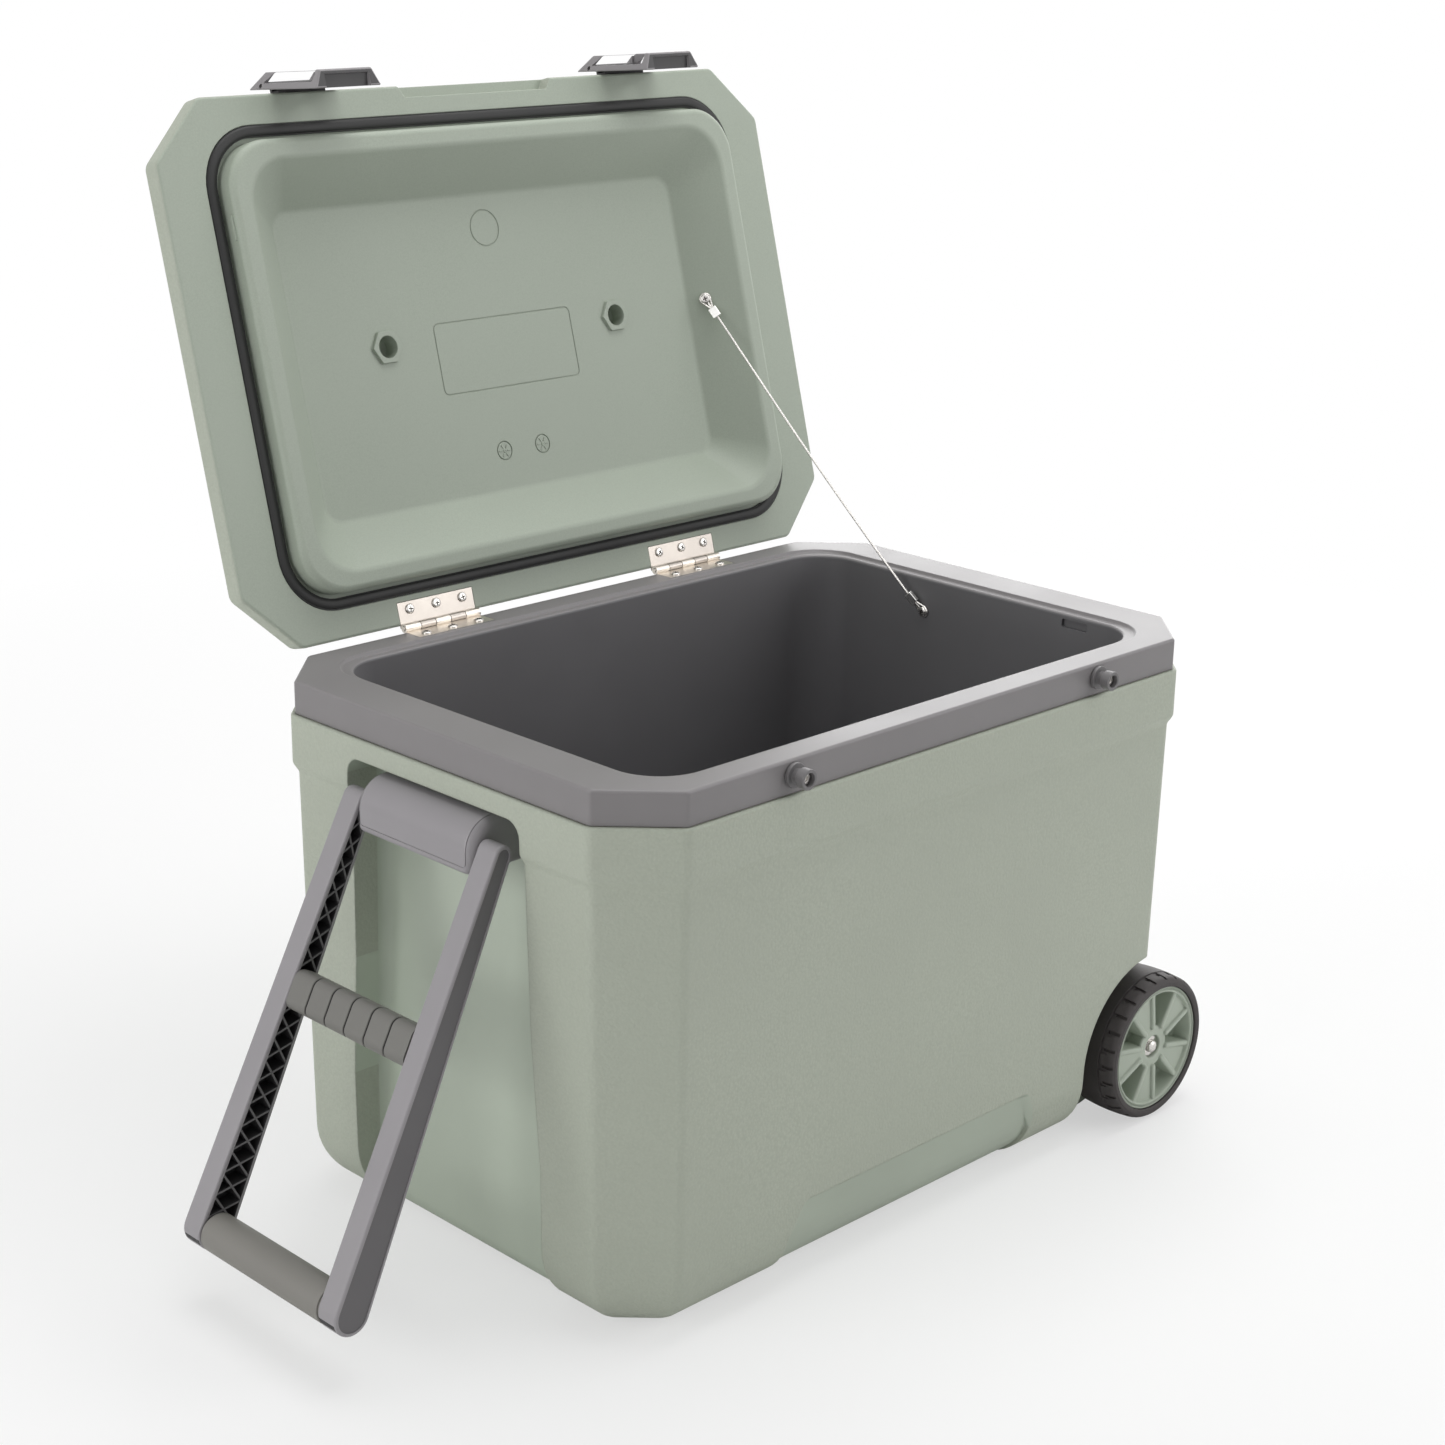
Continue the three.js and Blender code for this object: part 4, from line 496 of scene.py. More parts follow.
def bump(tree, height, distance, strength=1.0, under=None):
    node = tree.nodes.new("ShaderNodeBump")
    node.inputs["Distance"].default_value = distance * MM
    node.inputs["Strength"].default_value = strength
    tree.links.new(height, node.inputs["Height"])
    if under is not None:
        tree.links.new(under, node.inputs["Normal"])
    return node.outputs["Normal"]


def linear(r, g, b):
    """The linear shares of a screen colour of 0 to 255."""
    return tuple(c / 255 / 12.92 if c <= 10 else ((c / 255 + 0.055) / 1.055) ** 2.4
                 for c in (r, g, b))


def maths(tree, how, *values):
    node = tree.nodes.new("ShaderNodeMath")
    node.operation = how
    for socket, value in zip(node.inputs, values):
        tree.links.new(value, socket)
    return node.outputs[0]


def shade(colour, factor):
    return tuple(min(1, c * factor) for c in colour)


def moulded(name, colour, roughness, grain=0.0, grain_scale=620, cloud=0.04, wear_and_highlight=0.06,
            edge_round=0.0):
    """Moulded plastic: soft colour clouds, paler edges from wear and painted highlight, leather grain
    and fine haze.
    """
    material, tree, shader = nodes_of(name)
    clouds = texture(tree, "ShaderNodeTexNoise", CLOUD_SCALE, Detail=3.0, Roughness=0.55)
    base = mixed(tree, ramp(tree, clouds.outputs["Fac"], *MIDDLE_RAMP), shade(colour, 1 - cloud),
                 shade(colour, 1 + cloud))
    edge = tree.nodes.new("ShaderNodeNewGeometry")
    turn = None
    if edge_round:
        turned_edge = tree.nodes.new("ShaderNodeBevel")
        turned_edge.samples = 6
        turned_edge.inputs["Radius"].default_value = edge_round * MM
        turn = turned_edge.outputs["Normal"]
        near = tree.nodes.new("ShaderNodeVectorMath")
        near.operation = "DOT_PRODUCT"
        tree.links.new(turn, near.inputs[0])
        tree.links.new(edge.outputs["Normal"], near.inputs[1])
        worn_and_lit_edge = ramp(tree, near.outputs["Value"], *CORNER_RAMP, 0.0, wear_and_highlight * WEAR_HIGHLIGHT_GAIN)
    else:
        worn_and_lit_edge = ramp(tree, edge.outputs["Pointiness"], *POINTED_RAMP, 0.0, wear_and_highlight * WEAR_HIGHLIGHT_GAIN)
    # Edges turn paler: partly wear, partly a painted highlight along them.
    base = mixed(tree, worn_and_lit_edge, base, shade(colour, WEAR_HIGHLIGHT_SHARE))
    haze = texture(tree, "ShaderNodeTexNoise", HAZE_SCALE, Detail=2.0)
    normal = bump(tree, haze.outputs["Fac"], HAZE_DEPTH, HAZE_SHARE, turn)
    rough = ramp(tree, clouds.outputs["Fac"], *MIDDLE_RAMP, roughness - 0.04, roughness + 0.05)
    if grain:
        cells = texture(tree, "ShaderNodeTexVoronoi", grain_scale, feature="SMOOTH_F1",
                        Smoothness=0.55)
        warp = texture(tree, "ShaderNodeTexNoise", grain_scale * WARP_SHARE, Detail=4.0,
                       Roughness=0.6)
        both = maths(tree, "ADD", cells.outputs["Distance"], warp.outputs["Fac"])
        normal = bump(tree, both, grain, 1.0, normal)
        base = mixed(tree, ramp(tree, both, *DIP_RAMP), base, shade(colour, DIP_SHARE))
    tree.links.new(base, shader.inputs["Base Color"])
    tree.links.new(rough, shader.inputs["Roughness"])
    tree.links.new(normal, shader.inputs["Normal"])
    shader.inputs["Specular IOR Level"].default_value = SPECULAR_SHARE
    return material


def metal(name, colour, roughness, streak=(1, 1, 1)):
    """Metal with a fine brushed grain and faint smudges."""
    material, tree, shader = nodes_of(name)
    grain = texture(tree, "ShaderNodeTexNoise", BRUSH_SCALE, Detail=3.0)
    mapping = tree.nodes.new("ShaderNodeMapping")
    mapping.inputs["Scale"].default_value = streak
    tree.links.new(tree.nodes["place"].outputs["Object"], mapping.inputs["Vector"])
    tree.links.new(mapping.outputs["Vector"], grain.inputs["Vector"])
    smudge = texture(tree, "ShaderNodeTexNoise", SMUDGE_SCALE, Detail=4.0)
    base = mixed(tree, ramp(tree, smudge.outputs["Fac"], *SMUDGE_RAMP),
                 shade(colour, SMUDGE_SHARE), colour)
    rough = ramp(tree, grain.outputs["Fac"], *MIDDLE_RAMP, roughness - 0.06, roughness + 0.08)
    tree.links.new(base, shader.inputs["Base Color"])
    tree.links.new(rough, shader.inputs["Roughness"])
    normal = bump(tree, grain.outputs["Fac"], BRUSH_DEPTH, BRUSH_SHARE)
    tree.links.new(normal, shader.inputs["Normal"])
    shader.inputs["Metallic"].default_value = 1.0
    return material


# The finishes: the shell's edges look rounded by so many mm, and drawn metal has long streaks
SHELL_ROUND, DRAWN = 2.6, (1, 30, 1)
GREEN = linear(176, 182, 168)
GREEN_SMOOTH = linear(172, 181, 167)
shell_grain = moulded("shell_grain", GREEN, 0.52, grain=0.24, grain_scale=500,
                      edge_round=SHELL_ROUND)
shell_smooth = moulded("shell_smooth", GREEN_SMOOTH, 0.42, edge_round=SHELL_ROUND)
# The handle recess and the wheel arches take a lighter copy of the smooth green: painted light
# against the shade that falls in them.
recess_lightened = moulded("recess_lightened", shade(GREEN_SMOOTH, 1.14), 0.42, edge_round=SHELL_ROUND)
lid_satin = moulded("lid_satin", GREEN_SMOOTH, 0.46, grain=0.03, grain_scale=900,
                    edge_round=0.8)
# The rim's strong edge paling is a painted highlight along its edges.
rim_grey = moulded("rim_grey", linear(131, 128, 129), 0.38, wear_and_highlight=0.2, edge_round=1.2)
stud_grey = moulded("stud_grey", linear(112, 110, 111), 0.3)
# A darker copy of the rim's grey for the inside of the cavity, which is one moulding with the rim:
# painted shade.
cavity_shade_grey = moulded("cavity_shade_grey", linear(109, 108, 110), 0.5)
handle_grey = moulded("handle_grey", linear(148, 145, 148), 0.42)
# Darker grey: painted shade on the rib tops in the arms' pockets, and the tone of the arms' sunken
# outer side panels.
rib_shade_and_side_grey = moulded("rib_shade_and_side_grey", linear(104, 102, 104), 0.55)
# Near black painted shade for the arms' pocket floors and rib sides and for the crossbar's grooves.
painted_hollow_shade = moulded("painted_hollow_shade", linear(52, 51, 52), 0.6)
# Dark metal for the screws' cross recesses: painted shade.
cross_recess_shade = metal("cross_recess_shade", linear(92, 88, 84), 0.4)
latch_grey = moulded("latch_grey", linear(140, 137, 139), 0.4)
grip_grey = moulded("grip_grey", linear(127, 125, 120), 0.55)
bar_grey = moulded("bar_grey", linear(113, 112, 108), 0.5)
# Dark grey for the latch bases, and as painted shade on the wall inside each latch's hollow
# underside.
dark_plastic = moulded("dark_plastic", linear(70, 69, 70), 0.5)
rubber = moulded("rubber", linear(38, 38, 38), 0.55, wear_and_highlight=0.03)
tyre_rubber = moulded("tyre_rubber", linear(66, 62, 62), 0.62, grain=0.05, grain_scale=500,
                      cloud=0.08)
foam_white = moulded("foam_white", linear(236, 228, 202), 0.85, grain=0.3, grain_scale=450)
# Darker and lighter copies of one nickel plating for the hinge: the lid leaf's darker tone is painted
# shade, the tub leaf's and pin's lighter tone painted light.
nickel_shaded = metal("nickel_shaded", linear(184, 177, 170), 0.36, DRAWN)
nickel_lit = metal("nickel_lit", linear(224, 217, 208), 0.34, DRAWN)
steel = metal("steel", linear(215, 212, 208), 0.26)
sleeve_bright = metal("sleeve_bright", linear(246, 245, 242), 0.3)


# Tub
def tub_ring(z, out):
    return octagon(HALF_LENGTH, HALF_WIDTH, out, CORNER_ROUND, z)


def tub_form(name, inwards, raise_foot, top, *materials):
    shell_top = RIM_TOP - RIM_HEIGHT - RIM_GAP
    rings = []
    if top > shell_top:
        rings.append(tub_ring(top, COLLAR_OUT - inwards))
    else:
        for c, s in arc(90, 0, 4):
            rings.append(tub_ring(shell_top - COLLAR_EDGE * (1 - s),
                                  COLLAR_OUT - COLLAR_EDGE * (1 - c) - inwards))
    steps = 8
    rise = COLLAR_OUT + WALL_IN
    for s in range(steps + 1):
        share = 0.5 + 0.5 * math.cos(math.pi * s / steps)
        drop = COLLAR_DROP + (COLLAR_FOOT - COLLAR_DROP) * s / steps
        rings.append(tub_ring(RIM_TOP - drop, share * rise - WALL_IN - inwards))
    radius = FOOT_RADIUS - inwards
    for c, s in arc(0, 90, 14):
        rings.append(tub_ring(raise_foot + radius * (1 - s),
                              -FOOT_IN - inwards - radius * (1 - c)))
    return loft(name, rings, *materials)


def recess_cutter(grow):
    def half_at(z):
        for (z1, h1), (z0, h0) in zip(RECESS_HALVES, RECESS_HALVES[1:]):
            if z >= z0:
                return h0 + (h1 - h0) * (z - z0) / (z1 - z0)
        return RECESS_HALVES[-1][1]

    def section(z, half, floor):
        outside = -HALF_LENGTH - FAR
        centre, flat = floor - RECESS_ROUND, half - RECESS_ROUND
        return at_z([(outside, -half), *round_at(centre, -flat, RECESS_ROUND, -90, 0, 5),
                     *round_at(centre, flat, RECESS_ROUND, 0, 90, 5), (outside, half)], z)

    rings = []
    top = RECESS_TOP + grow
    for c, s in arc(90, 0, 5):
        z = top - RECESS_CORNER * (1 - s)
        rings.append(section(z, half_at(z) - RECESS_CORNER * (1 - c) + grow,
                             RECESS_FLOOR - RECESS_ROUND * 0.5 * (1 - c) + grow))
    for z, half in RECESS_HALVES[1:3]:
        rings.append(section(z, half + grow, RECESS_FLOOR + grow))
    for c, s in arc(0, 90, 6):
        z = RECESS_FOOT * (1 - s)
        rings.append(section(z, half_at(z) + grow, RECESS_FLOOR + RECESS_FOOT * (1 - c) + grow))
    rings.append(section(-2 * CUT, RECESS_HALVES[-1][1] + grow,
                         RECESS_FLOOR + RECESS_FOOT + grow))
    return loft("recess_cutter", rings)


def arch_cutter(side, grow):
    radius = ARCH_RADIUS + grow
    top, end, foot = ARCH_TOP + grow, HALF_LENGTH + FAR, -2 * CUT
    outline = [*round_at(ARCH_X, ARCH_Z, radius, 180, 90, 24), (ARCH_X + ARCH_FLAT, top),
               (end, top), (end, foot), (ARCH_X - radius, foot)]
    a, b = sorted((side * (ARCH_INNER - grow), side * (HALF_WIDTH + FAR)))
    return prism("arch_cutter", outline, a, b, "y")


def panel_cutter(side, grow):
    """Room of a sunken panel; its edges slope outwards over the panel's depth."""
    def outline(wider, depth):
        rise = grow + (wider - grow) * PANEL_RISE_SHARE
        corners = [(x + math.copysign(wider, x), z + (rise if z == PANEL_TOP else 0))
                   for x, z in PANEL]
        return [(x, side * depth, z) for x, z in rounded(corners, PANEL_ROUND, 5)]

    face = HALF_WIDTH - FOOT_IN - PANEL_INSET - grow
    cutter = loft("panel_cutter", [
        outline(grow, PANEL_DEEP - grow), outline(grow, face),
        outline(grow + PANEL_SLOPE, face + PANEL_INSET + FOOT_IN + grow),
        outline(grow + PANEL_SLOPE, HALF_WIDTH + FAR),
    ])
    return cut(cutter, tub_form("panel_keep", PANEL_INSET + grow, PANEL_LIFT + grow, RIM_TOP))


def carved(form, grow):
    """The form less the handle's recess, the wheel arches and the foot panels."""
    cut(form, recess_cutter(grow), arch_cutter(-1, grow), arch_cutter(1, grow))
    return cut(form, panel_cutter(-1, grow), panel_cutter(1, grow))


def build_tub_shell():
    shell = carved(tub_form("tub_shell", 0, 0, 0, shell_grain, shell_smooth, recess_lightened), 0)
    clean(shell, FLAT)
    soften(shell, SHELL_SOFT, 3, 38)
    cut(shell, carved(tub_form("hollow", SKIN, SKIN, RIM_TOP), SKIN))
    cut(shell, prism("axle_hole", round_at(WHEEL_X, WHEEL_Z, AXLE_RADIUS + GAP),
                     -HALF_WIDTH, HALF_WIDTH, "y"))
    panel_start, panel_end = PANEL[-1][0] + 2 * NEAR, PANEL[2][0] - 2 * NEAR
    panel_deep, panel_out = PANEL_DEEP - 2 * NEAR, HALF_WIDTH - FOOT_IN - PANEL_LIP
    handle_half = RECESS_HALVES[0][1] + NEAR

    def in_panel(middle, normal):
        x, y, z = middle
        return (panel_start < x < panel_end and z < PANEL_TOP + NEAR
                and panel_deep < abs(y) < panel_out)

    def in_recess(middle, normal):
        x, y, z = middle
        half = min(handle_half + (RECESS_TOP - z) * RECESS_WIDEN_SHARE,
                   RECESS_HALVES[-1][1] - NEAR / 2)
        handle = (3 * NEAR - HALF_LENGTH < x < RECESS_FLOOR + RECESS_LIP and abs(y) < half
                  and z < RECESS_TOP + NEAR)
        arch = (x > ARCH_X - ARCH_RADIUS - NEAR and z < ARCH_TOP + NEAR
                and ARCH_INNER - NEAR < abs(y) < HALF_WIDTH - ARCH_LIP)
        return handle or arch

    paint(shell, 1, in_panel)
    # Recess and arch faces get the lighter copy of the green, as painted light.
    paint(shell, 2, in_recess)
    placed(shell, "tub", "shell", "outer_shell")


def cavity_form(name, grow, top, lip):
    def ring(z, draft, extra=0.0):
        return at_z(rectangle(MOUTH_X - draft + grow + extra, MOUTH_Y - draft + grow + extra,
                              MOUTH_RADIUS + grow + extra), z)

    floor = CAVITY_FLOOR - grow
    rings = [ring(top, 0, lip)]
    if lip:
        rings.append(ring(RIM_TOP - LEDGE_DEPTH + HAIR, 0, lip))
        for c, s in list(arc(90, 0, 5))[1:]:
            rings.append(ring(RIM_TOP - LEDGE_DEPTH - lip * (1 - s), 0, lip * (1 - c)))
    rings.append(ring(RIM_TOP - RIM_HEIGHT, MOUTH_DRAFT))
    for c, s in arc(0, 90, 8):
        rings.append(ring(floor + CAVITY_ROUND * (1 - s), LINER_DRAFT + CAVITY_ROUND * (1 - c)))
    form = loft(name, rings, cavity_shade_grey)
    shelf_x, shelf_z = SHELF_X + grow, SHELF_Z - grow
    corner = round_at(shelf_x + SHELF_ROUND, shelf_z - SHELF_ROUND, SHELF_ROUND, 180, 90, 6)
    outline = [(shelf_x, -10 * CUT), *corner, (HALF_LENGTH, shelf_z), (HALF_LENGTH, -10 * CUT)]
    return cut(form, prism("shelf", outline, -HALF_WIDTH, HALF_WIDTH, "y"))


def liner_ring(inwards, z):
    return octagon(HALF_LENGTH, HALF_WIDTH, -inwards, RIM_CORNER, z)


def build_liner():
    rings = [liner_ring(0, RIM_TOP - RIM_HEIGHT)]
    for c, s in arc(0, 90, 4):
        rings.append(liner_ring(RIM_BEVEL * (1 - c), RIM_TOP - RIM_BEVEL * (1 - s)))
    liner = loft("tub_liner", rings, rim_grey, cavity_shade_grey)
    join(liner, cavity_form("liner_outside", LINER_WALL, RIM_TOP - RIM_HEIGHT + CUT, 0))
    ledge = loft("ledge", [
        at_z(rectangle(LEDGE_X + e, LEDGE_Y + e, LEDGE_RADIUS), z)
        for e, z in ((-LEDGE_FILLET, RIM_TOP - LEDGE_DEPTH),
                     (-LEDGE_EDGE, RIM_TOP - LEDGE_DEPTH * LEDGE_FILLET_SHARE),
                     (0, RIM_TOP - LEDGE_EDGE), (LEDGE_EDGE, RIM_TOP), (LEDGE_EDGE, RIM_TOP + CUT))
    ])
    cut(liner, ledge, cavity_form("cavity", 0, RIM_TOP + 2 * CUT, MOUTH_LIP))
    slot = rounded(((SLOT_Y - SLOT_HALF, SLOT_LOW), (SLOT_Y + SLOT_HALF, SLOT_LOW),
                    (SLOT_Y + SLOT_HALF, SLOT_HIGH), (SLOT_Y - SLOT_HALF, SLOT_HIGH)),
                   SLOT_ROUND, 3)
    for side in (-1, 1):
        a, b = sorted((side * (MOUTH_X - SLOT_START), side * (MOUTH_X + SLOT_DEEP)))
        cut(liner, prism("slot", slot, a, b, "x"))
        start, end = side * HINGE_X - LEAF_HALF, side * HINGE_X + LEAF_HALF
        leaf = block("leaf_seat", (start, LEAF_BACK, RIM_TOP - LEAF_SEAT),
                     (end, HALF_WIDTH + FAR, RIM_TOP + 10 * CUT))
        cut(liner, leaf, prism("knuckle_seat", round_at(HINGE_Y, HINGE_Z, KNUCKLE_SEAT),
                               start, end, "x"))
    inside_x, inside_y = MOUTH_X + INSIDE_REACH, MOUTH_Y + INSIDE_REACH
    inside_top = RIM_TOP - LEDGE_DEPTH - INSIDE_DROP
    paint(liner, 0, lambda m, n: True)
    # The cavity's inside takes the darker copy of the rim's grey, as painted shade.
    paint(liner, 1, lambda m, n: abs(m.x) < inside_x and abs(m.y) < inside_y and m.z < inside_top)
    placed(liner, "tub", "liner", "inner_liner", sharp=30)


# Lid, built in its closed place and then turned open
def lid_ring(out, z):
    return octagon(LID_X, LID_Y, out, LID_CORNER, z)


def lid_form(name, inwards, *materials):
    rings = []
    for c, s in arc(-90, 0, 4):
        rings.append(lid_ring(-inwards - LID_EDGE * (1 - c),
                              LID_UNDER + inwards + LID_EDGE * (1 + s)))
    shift = inwards * math.tan(math.pi / 8)
    turn_start = LID_UNDER + LID_SIDE - shift - LID_TURN * LID_TURN_SHARE
    for c, s in arc(0, 45, 4):
        rings.append(lid_ring(-inwards - LID_TURN * (1 - c), turn_start + LID_TURN * s))
    top = LID_UNDER + LID_HEIGHT - inwards
    slope_out = -LID_BEVEL - shift - LID_TURN * LID_TURN_SHARE
    for c, s in arc(45, 90, 4):
        rings.append(lid_ring(slope_out + LID_TURN * c, top - LID_TURN * (1 - s)))
    return loft(name, rings, *materials)


def grab_room(wall):
    """Room round the walls of the grab notch in the lid's front edge."""
    return block("keep", (-GRAB_HALF - wall, -LID_Y - 2 * CUT, LID_UNDER - 2 * CUT),
                 (GRAB_HALF + wall, GRAB_INSET - LID_Y + wall,
                  LID_UNDER + GRAB_DEPTH + wall - GRAB_WALL + LID_SKIN))


def build_lid_shell():
    lid = lid_form("lid_cover", 0, shell_grain, lid_satin)
    low, high, front, back = LID_UNDER - CUT, LID_UNDER + GRAB_DEPTH, -LID_Y - CUT, GRAB_INSET - LID_Y
    wide, narrow = GRAB_HALF + CUT, GRAB_FLOOR + CUT
    cut(lid, loft("grab", [
        [(-wide, front, low), (wide, front, low), (narrow, back, low), (-narrow, back, low)],
        [(-GRAB_HALF, front, high), (GRAB_HALF, front, high),
         (GRAB_FLOOR, back - CUT, high), (-GRAB_FLOOR, back - CUT, high)],
    ]))
    cut(lid, loft("gasket_seat", [
        at_z(rectangle(GASKET_X + GAP, GASKET_Y + GAP, GASKET_RADIUS), z)
        for z in (low, LID_UNDER + GASKET_SEAT)]))
    clean(lid, FLAT)
    soften(lid, LID_SOFT, 3, 50)
    cut(lid, cut(lid_form("lid_inside", LID_SKIN), grab_room(GRAB_WALL)))
    for side in (-1, 1):
        middle = side * HINGE_X
        cut(lid, block("leaf_seat", (middle - LEAF_HALF, LEAF_BACK, low),
                       (middle + LEAF_HALF, LID_Y + FAR, LID_UNDER + LEAF_SEAT)))
    paint(lid, 1, lambda m, n: n.z < -FACING_SHARE and m.z < LID_UNDER + LID_UNDER_ROOM)
    placed(opened(lid), "lid", "shell", "lid_shell")


def lid_rect(x, y, radius, z):
    return at_z(rectangle(x, y, radius, 14), z)


def note_form(name, sizes, low, high):
    """Flat form of the bare panel's outline in the pocket floor."""
    return loft(name, [[(x, y + NOTE_Y, z) for x, y in rectangle(*sizes)] for z in (low, high)])


def build_lid_liner():
    low = LID_UNDER - PLUG_DEPTH
    floor = LID_UNDER + FLOOR_DEPTH
    flange = LID_UNDER + LID_SKIN + GAP
    rings = [lid_rect(FLOOR_X + LID_SKIN, FLOOR_Y + LID_SKIN, FLOOR_RADIUS, floor + LID_SKIN),
             lid_rect(POCKET_X - POCKET_IN, POCKET_Y - POCKET_IN, POCKET_RADIUS, flange + LID_SKIN),
             lid_rect(FLANGE_X, FLANGE_Y, GASKET_RADIUS, flange + LID_SKIN),
             lid_rect(FLANGE_X, FLANGE_Y, GASKET_RADIUS, flange),
             lid_rect(PLUG_X, PLUG_Y, PLUG_RADIUS, flange - HAIR)]
    for c, s in arc(0, 90, 8):
        e = PLUG_EDGE * (1 - c)
        rings.append(lid_rect(PLUG_X - e, PLUG_Y - e, PLUG_RADIUS - e * PLUG_TURN_SHARE,
                              low + PLUG_EDGE * (1 - s)))
    corners = ((PLUG_X - PLUG_EDGE - CUT, low), (POCKET_X, low), (FLOOR_X, floor),
               (FLOOR_X - FAR, floor))
    turns = (POCKET_RADIUS - FLOOR_RADIUS) / (POCKET_X - FLOOR_X)
    for r, z in filleted(corners, (0, POCKET_LIP, POCKET_FILLET, 0), 8)[1:-1]:
        radius = max(LEAST_RADIUS, FLOOR_RADIUS + (r - FLOOR_X) * turns)
        rings.append(lid_rect(r, r - POCKET_X + POCKET_Y, radius, z))
    liner = loft("lid_inner", rings, lid_satin)
    for side in (-1, 1):
        hexagon = round_at(side * PORT_X, PORT_Y, PORT_RADIUS, 0, 300, 5)
        collar = prism("port", hexagon, floor - PORT_HEIGHT, floor + CUT, "z")
        soften(collar, PORT_SOFT, 2)
        place = (side * PORT_X, PORT_Y, 0)
        cup = disc("cup", PORT_HOLE + CUP_WALL, floor + CUT, floor + CUP_DEEP, place, "z")
        hole = disc("port_hole", PORT_HOLE, floor - 10 * CUT, floor + HOLE_DEEP, place, "z")
        join(liner, collar, cup)
        cut(liner, hole)
        a, b = sorted((side * (PLUG_X - TAB_START), side * (PLUG_X + TAB_OUT)))
        tab = block("tab", (a, TAB_Y - TAB_HALF, LID_UNDER - TAB_DROP - TAB_RISE),
                    (b, TAB_Y + TAB_HALF, LID_UNDER - TAB_DROP + TAB_RISE))
        soften(tab, TAB_SOFT, 2)
        join(liner, tab)
    groove = note_form("panel_groove", NOTE_OUTSIDE, floor - NOTE_LOW, floor + NOTE_DEEP)
    cut(groove, note_form("panel_inside", NOTE_INSIDE, floor - CUT, floor + CUT))
    cut(liner, groove)
    for centre, radius, deep in MARKS:
        inner, outer = radius - MARK_HALF, radius + MARK_HALF
        ring = ((inner, floor - CUT), (outer, floor - CUT), (outer, floor + deep),
                (inner, floor + deep))
        cut(liner, lathe("mark_groove", ring, (*centre, 0), "z", 48))
    clean(liner, FINE_FLAT, 2 * HAIR)
    placed(opened(liner), "lid", "shell", "lid_liner", sharp=32)


def build_lid_foam():
    under = LID_SKIN + GAP
    foam = lid_form("lid_filling", under, foam_white)
    floor = LID_UNDER + FLOOR_DEPTH + under
    flange = LID_UNDER + LID_SKIN + GAP + under
    seat = [lid_rect(LID_X + CUT, LID_Y + CUT, GASKET_RADIUS, z)
            for z in (LID_UNDER - CUT, flange)]
    pocket = [lid_rect(POCKET_X - FOAM_EASE, POCKET_Y - FOAM_EASE, POCKET_RADIUS, flange - CUT),
              lid_rect(FLOOR_X + FOAM_EASE, FLOOR_Y + FOAM_EASE, FLOOR_RADIUS, floor)]
    cut(foam, loft("seat", seat), loft("pocket", pocket))
    for side in (-1, 1):
        cut(foam, disc("port_room", PORT_HOLE + LID_SKIN, floor - 5 * CUT, LID_UNDER + LID_HEIGHT,
                       (side * PORT_X, PORT_Y, 0), "z"))
    cut(foam, grab_room(GRAB_WALL + GAP))
    placed(opened(foam), "lid", "foam", "lid_foam")


def build_stamps():
    """Moulding stamps in the pocket floor: a small disc with raised ticks round it."""
    floor = LID_UNDER + FLOOR_DEPTH
    top = floor + STAMP_RISE
    profile = ((STAMP_BORE, floor - STAMP_SUNK), (STAMP_NECK, floor - STAMP_SUNK),
               (STAMP_RADIUS, floor - STAMP_STEP), (STAMP_RADIUS, top), (STAMP_BORE, top))
    for i, (x, y) in enumerate(STAMPS):
        stamp = lathe(f"mould_stamp_{i + 1}", profile, (x, y, 0), "z", 20, lid_satin)
        for k in range(TICKS):
            tick = block("tick", (TICK_START, -TICK_HALF, floor - TICK_HALF),
                         (TICK_END, TICK_HALF, top))
            join(stamp, moved(tick, (x, y, 0), 2 * math.pi * k / TICKS))
        placed(opened(stamp), "lid", "shell")


def build_gasket():
    inner_x, inner_y = GASKET_X - GASKET_WIDTH, GASKET_Y - GASKET_WIDTH
    half = GASKET_WIDTH / 2
    profile = [(0.0, LID_UNDER + GASKET_DEEP), (0.0, LID_UNDER - GASKET_STEP)]
    for c, s in arc(180, 360, 8):
        profile.append((half + (half - GASKET_IN) * c,
                        LID_UNDER + (GASKET_PROUD - CLOSE) * s - CLOSE))
    profile += [(GASKET_WIDTH, LID_UNDER - GASKET_STEP), (GASKET_WIDTH, LID_UNDER + GASKET_DEEP)]
    rings = [lid_rect(inner_x + e, inner_y + e, GASKET_RADIUS - GASKET_WIDTH + e, z)
             for e, z in profile]
    gasket = loft("gasket_ring", rings, rubber, ring=True)
    placed(opened(gasket), "lid", "gasket", "lid_gasket")


